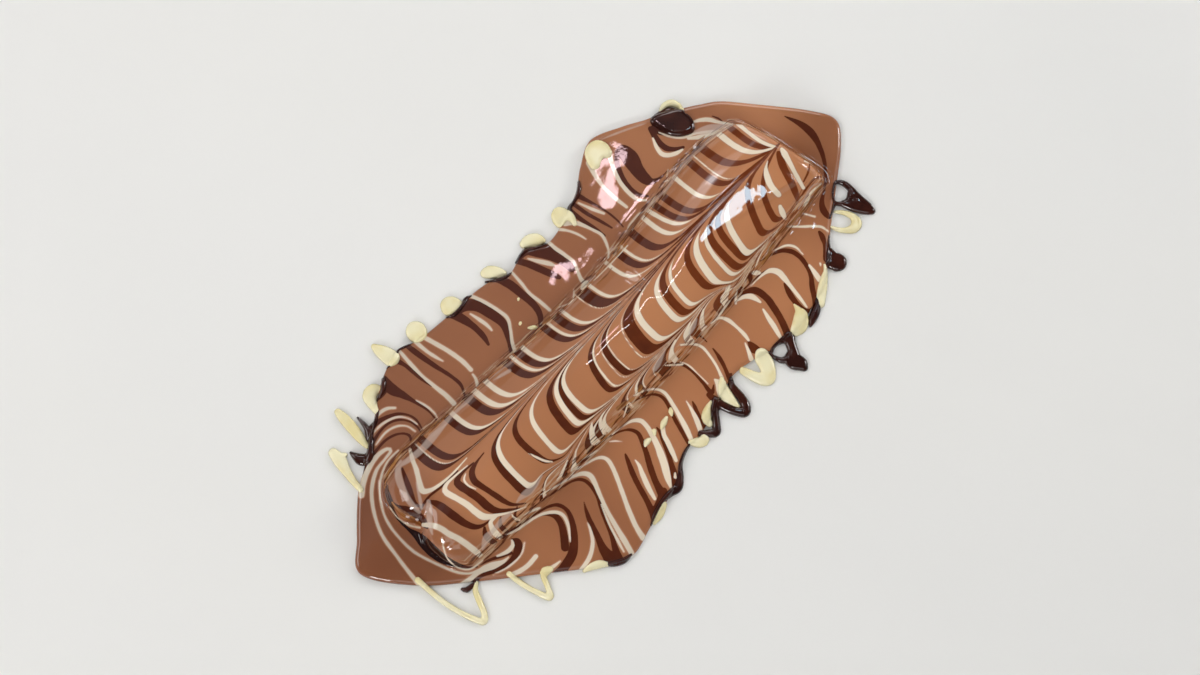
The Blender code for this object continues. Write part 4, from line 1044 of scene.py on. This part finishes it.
def pool_surface(cut, column, row):
    """Points of the pool, how far each is from the roll's foot, and whether it lies on top."""
    start, direction, full = pool_rays()
    share, height, kept = cut[row].T
    out = (full[column] - kept) * share
    u, v = (start[column] + direction[column] * out[:, None]).T
    on_top = height > POOL_THICKNESS * 0.99
    from_foot = out - TUCK_UNDER_COAT
    z = height + on_top * POOL_CLIMB * np.exp(-np.clip(from_foot, 0, None) / CLIMB_REACH)
    swell = np.clip((full[column] - kept - out) / 5, 0, 1) * np.clip(out / 3, 0, 1)
    quiet = (v > 0) | (u > QUIET_END)
    z = z + on_top * swell * np.where(quiet, QUIET_SWELL, POOL_SWELL) * waves(u, v, 10, 5)
    z = z + on_top * WRINKLE_HEIGHT * 0.6 * crease_wrinkles(u, from_foot)
    return u, v, z, from_foot, on_top


def make_pool(materials):
    """The pool of sauce around the roll: a ring whose cut runs over its top, its lip and its underside."""
    cut = pool_cut()
    mesh, grid = grid_mesh("sauce_pool_marbled", POOL_STEPS_AROUND, len(cut) - 1)
    column = np.rint((grid[:, 0] + 1) / 2 * POOL_STEPS_AROUND).astype(int)
    row = np.rint((grid[:, 1] + 1) / 2 * (len(cut) - 1)).astype(int)
    u, v, z, from_foot, on_top = pool_surface(cut, column, row)
    place_points(mesh, u, v, z)
    seen_u, seen_v = seen_from_above(u, v, z)
    nearest = no_strokes(u)
    lay_strokes(nearest, seen_u, seen_v, FOOT_STROKES_AND_SHADOW, CREASE_STROKES_AND_REFLECTIONS, LEFT_POOL_STROKES_AND_REFLECTIONS, RIGHT_POOL_STROKES)
    left_share = 0.5 + 0.5 * np.tanh(v / POOL_SIDE_BLEND)
    crease = hump(from_foot, POOL_CREASE) * on_top * np.clip((u - NEAR_POOL_AT) / 8, 0, 1)
    keep_marbling(mesh, nearest, crease=crease, across_crease=from_foot,
                  tone=from_right_to_left(RIGHT_POOL_TONE_AND_SHADE, LEFT_POOL_TONE_AND_SHADE, u, left_share),
                  thin=pool_thinning(u, left_share))
    return finish_mesh("sauce_pool_marbled", mesh, materials, weld=True)


def pool_height(u, v):
    """The pool's height at places on the ground, falling to 0 over its round lip."""
    edge = smooth_path(POOL_EDGE, closed=True, spacing=2.0)
    ends = np.roll(edge, -1, axis=0)
    nearest = np.full(u.shape, 1e9)
    crossings = np.zeros(u.shape, int)
    for start, end in zip(edge, ends):
        run = end - start
        t = np.clip(((u - start[0]) * run[0] + (v - start[1]) * run[1]) / (run @ run), 0, 1)
        nearest = np.minimum(nearest, np.hypot(u - start[0] - t * run[0], v - start[1] - t * run[1]))
        spans = (start[1] > v) != (end[1] > v)
        share = (v - start[1]) / np.where(spans, end[1] - start[1], 1)
        crossings += spans & (u < start[0] + share * run[0])
    inside = crossings % 2 == 1
    fall = 1 - np.clip(nearest / POOL_LIP, 0, 1)
    return np.where(inside, POOL_THICKNESS * np.sqrt(1 - fall**2), 0)


def bead_table(paths, u, v):
    """How deep each place lies inside the nearest bead in mm, negative outside them all."""
    deep = np.full(u.shape, -FAR_AWAY)
    for path in paths:
        deep = np.maximum(deep, -path_distance(u, v, [(a, b, 2 * half) for a, b, half in path]))
    return deep


def domed(table):
    """Heights over a table of depths: steep at the outline, flat in the middle, with soft valleys."""
    height = np.sqrt(1 - (1 - np.clip(table / BEAD_ROUNDING, 0, 1)) ** 2)
    for _ in range(BEAD_SOFTENING):
        beside = sum(np.roll(height, step, axis) for axis in (0, 1) for step in (1, -1))
        height = (2 * height + beside) / 6
    return BEAD_RISE * height


def cut_to_beads(mesh, deep, cell):
    """The grid's faces that touch a bead, as a bmesh with its points and their numbers in the grid."""
    keep_values(mesh, number=np.arange(len(deep)))
    shape = bmesh.new()
    shape.from_mesh(mesh)
    number = shape.verts.layers.float["number"]
    far = [point for point, depth in zip(shape.verts, deep) if depth < -1.5 * cell]
    bmesh.ops.delete(shape, geom=far, context="VERTS")
    bare = [face for face in shape.faces if max(deep[int(p[number])] for p in face.verts) < 0.25 * cell]
    bmesh.ops.delete(shape, geom=bare, context="FACES")
    points = list(shape.verts)
    return shape, points, np.array([int(point[number]) for point in points])


def make_beads(name, paths, material):
    """Raised chocolate: a fine grid cut to the beads' outlines, that drapes over the pool and the ground."""
    mesh, grid = grid_mesh(name, *BEAD_STEPS)
    spot = np.rint((grid[:, :2] + 1) / 2 * BEAD_STEPS).astype(int).T
    u, v = (BEAD_MIDDLE + grid[:, :2] * BEAD_REACH).T
    deep = bead_table(paths, u, v)
    table = np.zeros(np.add(BEAD_STEPS, 1))
    table[spot[0], spot[1]] = deep
    cell = 2 * BEAD_REACH[0] / BEAD_STEPS[0]
    inward = np.stack(np.gradient(table, cell))[:, spot[0], spot[1]]
    inward /= np.maximum(np.hypot(*inward), 0.3)
    rise = domed(table)[spot[0], spot[1]]
    shape, points, kept = cut_to_beads(mesh, deep, cell)
    rim = np.array([point.is_boundary for point in points])
    onto_outline = np.where(rim | (deep[kept] < 0), -deep[kept], 0)
    u, v = np.stack((u, v))[:, kept] + inward[:, kept] * onto_outline
    ground = pool_height(u, v)
    top = np.where(rim, np.maximum(ground - RIM_STEP, 0), ground + np.maximum(rise[kept], RIM_STEP))
    below = np.where(rim, top, np.maximum(ground - BEAD_SINK, 0))
    copied = bmesh.ops.duplicate(shape, geom=points + list(shape.edges) + list(shape.faces))["vert_map"]
    u, v = (u + FOOTPRINT_SHIFT[0]) * MM, (v + FOOTPRINT_SHIFT[1]) * MM
    for index, point in enumerate(points):
        copied[point].co = (u[index], v[index], below[index] * MM)
        point.co = (u[index], v[index], top[index] * MM)
    shape.to_mesh(mesh)
    shape.free()
    return finish_mesh(name, mesh, [material], weld=True)


# ---------------------------------------------------------------- materials
# Strokes' edges wander by this many mm, with this grain.
WOBBLE_GRAIN = 260.0
WOBBLE_REACH = 0.35
# The milk chocolate is paler and deeper in patches.
PATCH_GRAIN = 24.0
PATCHINESS = 0.3
# Noise steps along a crease for each metre, and across it for each mm.
STREAK_LENGTH = 60.0
STREAK_WIDTH = 1.3
CHOCOLATE_IOR = 1.46


class Finish:
    """A material under construction: short calls for the nodes that its functions use."""

    def __init__(self, name):
        self.material = bpy.data.materials.new(name)
        self.material.use_nodes = True
        self.tree = self.material.node_tree
        self.shader = self.tree.nodes["Principled BSDF"]
        self.place = self.add("ShaderNodeTexCoord").outputs["Object"]

    def add(self, kind, **settings):
        node = self.tree.nodes.new(kind)
        for key, value in settings.items():
            setattr(node, key, value)
        return node

    def feed(self, socket, value):
        if isinstance(value, bpy.types.NodeSocket):
            self.tree.links.new(value, socket)
        else:
            socket.default_value = value

    def stored(self, name):
        return self.add("ShaderNodeAttribute", attribute_name=name).outputs["Fac"]

    def noise(self, scale, detail=3.0, roughness=0.5, vector=None):
        node = self.add("ShaderNodeTexNoise")
        self.feed(node.inputs["Vector"], vector or self.place)
        self.feed(node.inputs["Scale"], scale)
        self.feed(node.inputs["Detail"], detail)
        self.feed(node.inputs["Roughness"], roughness)
        return node.outputs["Fac"]

    def math(self, operation, *values):
        node = self.add("ShaderNodeMath", operation=operation)
        for socket, value in zip(node.inputs, values):
            self.feed(socket, value)
        return node.outputs[0]

    def plus(self, a, b):
        return self.math("ADD", a, b)

    def times(self, a, b):
        return self.math("MULTIPLY", a, b)

    def times_plus(self, value, factor, addend):
        return self.math("MULTIPLY_ADD", value, factor, addend)

    def ramp(self, value, low, high):
        node = self.add("ShaderNodeMapRange", interpolation_type="SMOOTHSTEP")
        self.feed(node.inputs["Value"], value)
        self.feed(node.inputs["From Min"], low)
        self.feed(node.inputs["From Max"], high)
        return node.outputs["Result"]

    def mix(self, share, a, b):
        node = self.add("ShaderNodeMix", data_type="RGBA")
        self.feed(node.inputs["Factor"], share)
        self.feed(node.inputs["A"], linear(a) if isinstance(a, tuple) else a)
        self.feed(node.inputs["B"], linear(b) if isinstance(b, tuple) else b)
        return node.outputs["Result"]

    def stretched(self, x, y, z):
        node = self.add("ShaderNodeCombineXYZ")
        for socket, value in zip(node.inputs, (x, y, z)):
            self.feed(socket, value)
        return node.outputs[0]

    def bump(self, height, strength, distance):
        node = self.add("ShaderNodeBump")
        self.feed(node.inputs["Height"], height)
        self.feed(node.inputs["Strength"], strength)
        self.feed(node.inputs["Distance"], distance)
        self.feed(self.shader.inputs["Normal"], node.outputs["Normal"])

    def set(self, **values):
        for name, value in values.items():
            self.feed(self.shader.inputs[name.replace("_", " ")], value)
        return self.material


def marbled_chocolate():
    """Milk chocolate sauce with white and dark strokes, crepe showing through at the creases, painted
    reflections of the lamps and painted shade.
    """
    finish = Finish("marbled_chocolate")
    wobble = finish.times(finish.math("SUBTRACT", finish.noise(WOBBLE_GRAIN, 3.0), 0.5), WOBBLE_REACH)
    white_edge = finish.plus(finish.stored("white_edge"), wobble)
    dark_edge = finish.plus(finish.stored("dark_edge"), wobble)
    painted_reflection_edge = finish.plus(finish.stored("painted_reflection_edge"), wobble)
    browned_edge = finish.plus(finish.stored("browned_edge"), finish.times(wobble, 2.5))
    thin = finish.plus(finish.stored("thin"), finish.times(wobble, 1.2))
    # The stored tone carries painted shade, darker on the left sides and lighter on the right.
    even_tone = finish.math("SUBTRACT", finish.stored("tone"), PATCHINESS / 2)
    tone = finish.times_plus(finish.noise(PATCH_GRAIN, 3.0), PATCHINESS, even_tone)
    milk = finish.mix(tone, MILK_DEEP, MILK_PALE)
    milk = finish.mix(finish.ramp(white_edge, 0.55, 0.0), milk, MILK_HALO)
    dark = finish.mix(finish.ramp(thin, 0.0, 1.0), DARK, DARK_THIN)
    dark = finish.mix(finish.ramp(thin, -0.1, -0.9), dark, DARK_THICK)
    # White strokes are paler where the stored tone, painted shade in part, is light.
    white = finish.mix(finish.ramp(tone, 0.1, 0.8), WHITE, WHITE_PURE)
    streaks, threads = crease_grain(finish)
    browned = finish.mix(finish.ramp(streaks, 0.42, 0.6), BROWNED_DEEP, BROWNED)
    shows = finish.times(finish.stored("crease"), finish.ramp(streaks, 0.48, 0.66))
    colour = finish.mix(finish.times(shows, 0.7), milk, browned)
    colour = finish.mix(finish.ramp(dark_edge, 0.16, -0.16), colour, dark)
    colour = finish.mix(finish.ramp(white_edge, 0.14, -0.18), colour, white)
    crease = finish.ramp(finish.stored("crease"), 0.08, 0.6)
    dark_thread = finish.times(crease, finish.ramp(threads, 0.46, 0.38))
    pale_thread = finish.times(crease, finish.ramp(threads, 0.55, 0.62))
    colour = finish.mix(finish.times(dark_thread, 0.85), colour, dark)
    colour = finish.mix(finish.times(pale_thread, 0.7), colour, THREAD)
    colour = finish.mix(finish.times(finish.ramp(browned_edge, 0.25, -0.35), 0.85), colour, browned)
    # Painted reflections of the lamps, laid over the colour as a pale grey-pink.
    colour = finish.mix(finish.times(finish.ramp(painted_reflection_edge, 0.25, -0.45), PAINTED_REFLECTION_SHARE), colour, PAINTED_REFLECTION)
    height = finish.plus(finish.noise(70.0, 2.0), finish.times(finish.noise(900.0, 2.0), 0.04))
    finish.bump(height, 0.12, 0.0006)
    rough = finish.times_plus(finish.noise(160.0, 2.0), 0.03, 0.006)
    return finish.set(Base_Color=colour, Roughness=rough, IOR=CHOCOLATE_IOR)


def crease_grain(finish):
    """Two noises drawn out along the creases: fine streaks, and longer threads."""
    separate = finish.add("ShaderNodeSeparateXYZ")
    finish.feed(separate.inputs[0], finish.place)
    along = finish.times(separate.outputs["X"], STREAK_LENGTH)
    sideways = finish.times(separate.outputs["Y"], STREAK_LENGTH)
    across = finish.times(finish.stored("across_crease"), STREAK_WIDTH)
    streaks = finish.noise(1.0, 4.0, 0.6, finish.stretched(along, across, sideways))
    wider = finish.times(across, 0.45)
    threads = finish.noise(2.1, 2.0, 0.5, finish.stretched(along, wider, sideways))
    return streaks, threads


def browned_crepe():
    """The pan-browned underside of the rolled pancake."""
    finish = Finish("browned_crepe")
    blotches = finish.ramp(finish.noise(70.0, 4.0, 0.65), 0.42, 0.62)
    lace = finish.ramp(finish.noise(420.0, 3.0, 0.6), 0.5, 0.64)
    colour = finish.mix(blotches, BATTER, BROWNED)
    colour = finish.mix(finish.times(lace, 0.6), colour, BROWNED_DEEP)
    finish.bump(finish.noise(420.0, 3.0), 0.4, 0.0004)
    return finish.set(Base_Color=colour, Roughness=finish.ramp(lace, 0.75, 0.55))


def bead_chocolate(name, colour, other, grain, roughness):
    """Set chocolate of one colour that turns to another in patches."""
    finish = Finish(name)
    colour = finish.mix(finish.ramp(finish.noise(grain, 3.0), 0.38, 0.68), colour, other)
    finish.bump(finish.noise(220.0, 2.0), 0.15, 0.0004)
    rough = finish.times_plus(finish.noise(200.0, 2.0), 0.04, roughness)
    return finish.set(Base_Color=colour, Roughness=rough, IOR=CHOCOLATE_IOR)


def plain_floor():
    """A pale matt table top."""
    finish = Finish("pale_floor")
    colour = finish.mix(finish.noise(6.0, 2.0), FLOOR, tuple(channel - 6 for channel in FLOOR))
    return finish.set(Base_Color=colour, Roughness=0.6)


# ---------------------------------------------------------------- stage
FLOOR_HALF = 3.0
FLOOR_BELOW = 0.0002


def make_floor():
    """A table top a hair below the food."""
    shape = bmesh.new()
    bmesh.ops.create_grid(shape, x_segments=1, y_segments=1, size=FLOOR_HALF)
    bmesh.ops.translate(shape, verts=shape.verts, vec=(0, 0, -FLOOR_BELOW))
    mesh = bpy.data.meshes.new("floor")
    shape.to_mesh(mesh)
    shape.free()
    mesh.materials.append(plain_floor())
    floor = bpy.data.objects.new("floor", mesh)
    bpy.context.collection.objects.link(floor)


def soft_box(name, lean, height, size, brightness, colour=(1, 1, 1), beam=math.pi):
    """A glowing rectangle at a height, leaning off the vertical by (along, across) for each unit of it.

    A narrow beam keeps its brightness straight ahead and leaves the floor beside the food unlit.
    """
    light = bpy.data.lights.new(name, "AREA")
    light.shape = "RECTANGLE"
    light.size, light.size_y = size
    light.spread = beam
    light.energy = brightness * math.pi * size[0] * size[1] * (1 - beam / 2 / math.tan(beam / 2))
    light.color = colour
    lamp = bpy.data.objects.new(name, light)
    place = Vector((lean[0] * height, lean[1] * height, height))
    lamp.location = place
    lamp.rotation_euler = (-place).to_track_quat("-Z", "Y").to_euler()
    bpy.context.collection.objects.link(lamp)


def flat_box(name, lean, height, size, brightness, colour=(1, 1, 1), turn=0):
    """A soft box that hangs level, its long side along the food or turned from it by degrees."""
    soft_box(name, lean, height, size, brightness, colour)
    bpy.data.objects[name].rotation_euler = (0, 0, math.radians(turn))


# Short tubes in a row, seen in the crest: (lean along, length), both for each unit of height.
TUBES = ((0.126, 0.026), (0.164, 0.03), (0.199, 0.010), (0.247, 0.055))
TUBE_LEAN = 0.126
TUBE_HEIGHT = 1.4
TUBE_WIDTH = 0.009
TUBE_BRIGHTNESS = 40.0
# A pink flash and its three specks in the pool: (lean, size, turn).
FLASHES = (((0.276, 0.247), (0.085, 0.027), 30), ((0.166, 0.209), (0.034, 0.016), 50),
           ((0.190, 0.211), (0.010, 0.009), 0), ((0.202, 0.210), (0.008, 0.006), 0))
FLASH_HEIGHT = 1.35
FLASH_BRIGHTNESS = 23.0
FLASH_PINK = (1.0, 0.71, 0.77)
# Broad level boxes, and the bluish window in the slumped shoulder: name, lean, height, size, brightness,
# colour.
SKY = (0.97, 0.96, 1.0)
SHEEN = (0.95, 0.96, 1.0)
LEVEL_BOXES = (
    ("ceiling_box", (0.2, 0.335), 1.5, (1.5, 0.54), 0.25, SKY),
    ("back_box", (0.25, 1.5), 1.5, (1.9, 2.9), 0.5, SKY),
    ("sheen_box", (0.45, 0.82), 1.45, (0.42, 0.6), 1.6, SHEEN),
    ("sheen_middle", (0.42, 0.80), 1.4, (0.2, 0.42), 3.4, SHEEN),
    ("sheen_core", (0.43, 0.78), 1.35, (0.08, 0.24), 7.0, SHEEN),
    ("window_box", (0.372, 0.113), 1.4, (0.157, 0.088), 21.0, (0.61, 0.85, 1.0)),
)
# Soft boxes on four sides, and two small bright ones with a narrow beam that spark in the beads:
# (lean along, lean across, size, brightness).
SIDE_BOXES = ((-1.15, -1.0, 0.9, 2.1), (1.5, -1.0, 0.9, 2.1), (-1.15, 1.1, 0.9, 4.8), (1.5, 1.1, 0.9, 4.8))
SPARK_BEAM = math.radians(44)
SPARK_BOXES = ((-2.3, -0.8, 0.52, 34.0), (2.6, -1.1, 0.58, 34.0))
SURROUNDINGS_TINT = (0.95, 0.97, 1.0, 1.0)
SURROUNDINGS_BRIGHTNESS = 0.12


def make_lights():
    """Every lamp, and the faint bluish surroundings."""
    for index, (lean, length) in enumerate(TUBES):
        flat_box(f"tube_box_{index}", (lean, TUBE_LEAN), TUBE_HEIGHT, (length * TUBE_HEIGHT, TUBE_WIDTH),
                 TUBE_BRIGHTNESS)
    for index, (along, across, size, brightness) in enumerate(SIDE_BOXES):
        soft_box(f"side_box_{index}", (along, across), 1.0, (size, size), brightness)
    for index, (along, across, size, brightness) in enumerate(SPARK_BOXES):
        soft_box(f"spark_box_{index}", (along, across), 1.0, (size, size), brightness, beam=SPARK_BEAM)
    for name, lean, height, size, brightness, colour in LEVEL_BOXES:
        flat_box(name, lean, height, size, brightness, colour)
    for index, (lean, size, turn) in enumerate(FLASHES):
        flat_box(f"flash_box_{index}", lean, FLASH_HEIGHT, size, FLASH_BRIGHTNESS, FLASH_PINK, turn)
    world = bpy.data.worlds.new("studio")
    world.use_nodes = True
    background = world.node_tree.nodes["Background"]
    background.inputs["Color"].default_value = SURROUNDINGS_TINT
    background.inputs["Strength"].default_value = SURROUNDINGS_BRIGHTNESS
    bpy.context.scene.world = world


SENSOR_WIDTH = 36.0
# The lens's length and the picture's width, both in pixels.
LENS_PIXELS = 1316
PICTURE_PIXELS = 1200


def make_camera():
    """The eye above the food, aimed at the zero on the roll."""
    camera = bpy.data.cameras.new("camera")
    camera.sensor_width = SENSOR_WIDTH
    camera.lens = SENSOR_WIDTH * LENS_PIXELS / PICTURE_PIXELS
    holder = bpy.data.objects.new("camera", camera)
    place = Vector(((EYE[0] + FOOTPRINT_SHIFT[0]) * MM, (EYE[1] + FOOTPRINT_SHIFT[1]) * MM, EYE[2] * MM))
    aim = Vector((*(FOOTPRINT_SHIFT * MM), 0.0))
    holder.location = place
    holder.rotation_euler = (aim - place).to_track_quat("-Z", "Y").to_euler()
    bpy.context.collection.objects.link(holder)
    bpy.context.scene.camera = holder


# ---------------------------------------------------------------- the object
bpy.context.scene.view_settings.view_transform = "Standard"
sauce = marbled_chocolate()
coat = make_coat([sauce, browned_crepe()])
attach(coat, "root")
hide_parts("crepe")

pool = make_pool([sauce])
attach(pool, "root")
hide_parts("sauce_pool")

white_beads = make_beads("white_chocolate_drizzle_and_glints", WHITE_BEADS_AND_GLINTS,
                         bead_chocolate("white_chocolate", BEAD_WHITE, BEAD_WHITE_DEEP, 90.0, 0.14))
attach(white_beads, "root")

dark_beads = make_beads("dark_chocolate_drizzle", DARK_BEADS,
                        bead_chocolate("dark_chocolate", BEAD_DARK, BEAD_DARK_WARM, 110.0, 0.006))
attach(dark_beads, "root")

make_floor()
make_lights()
make_camera()
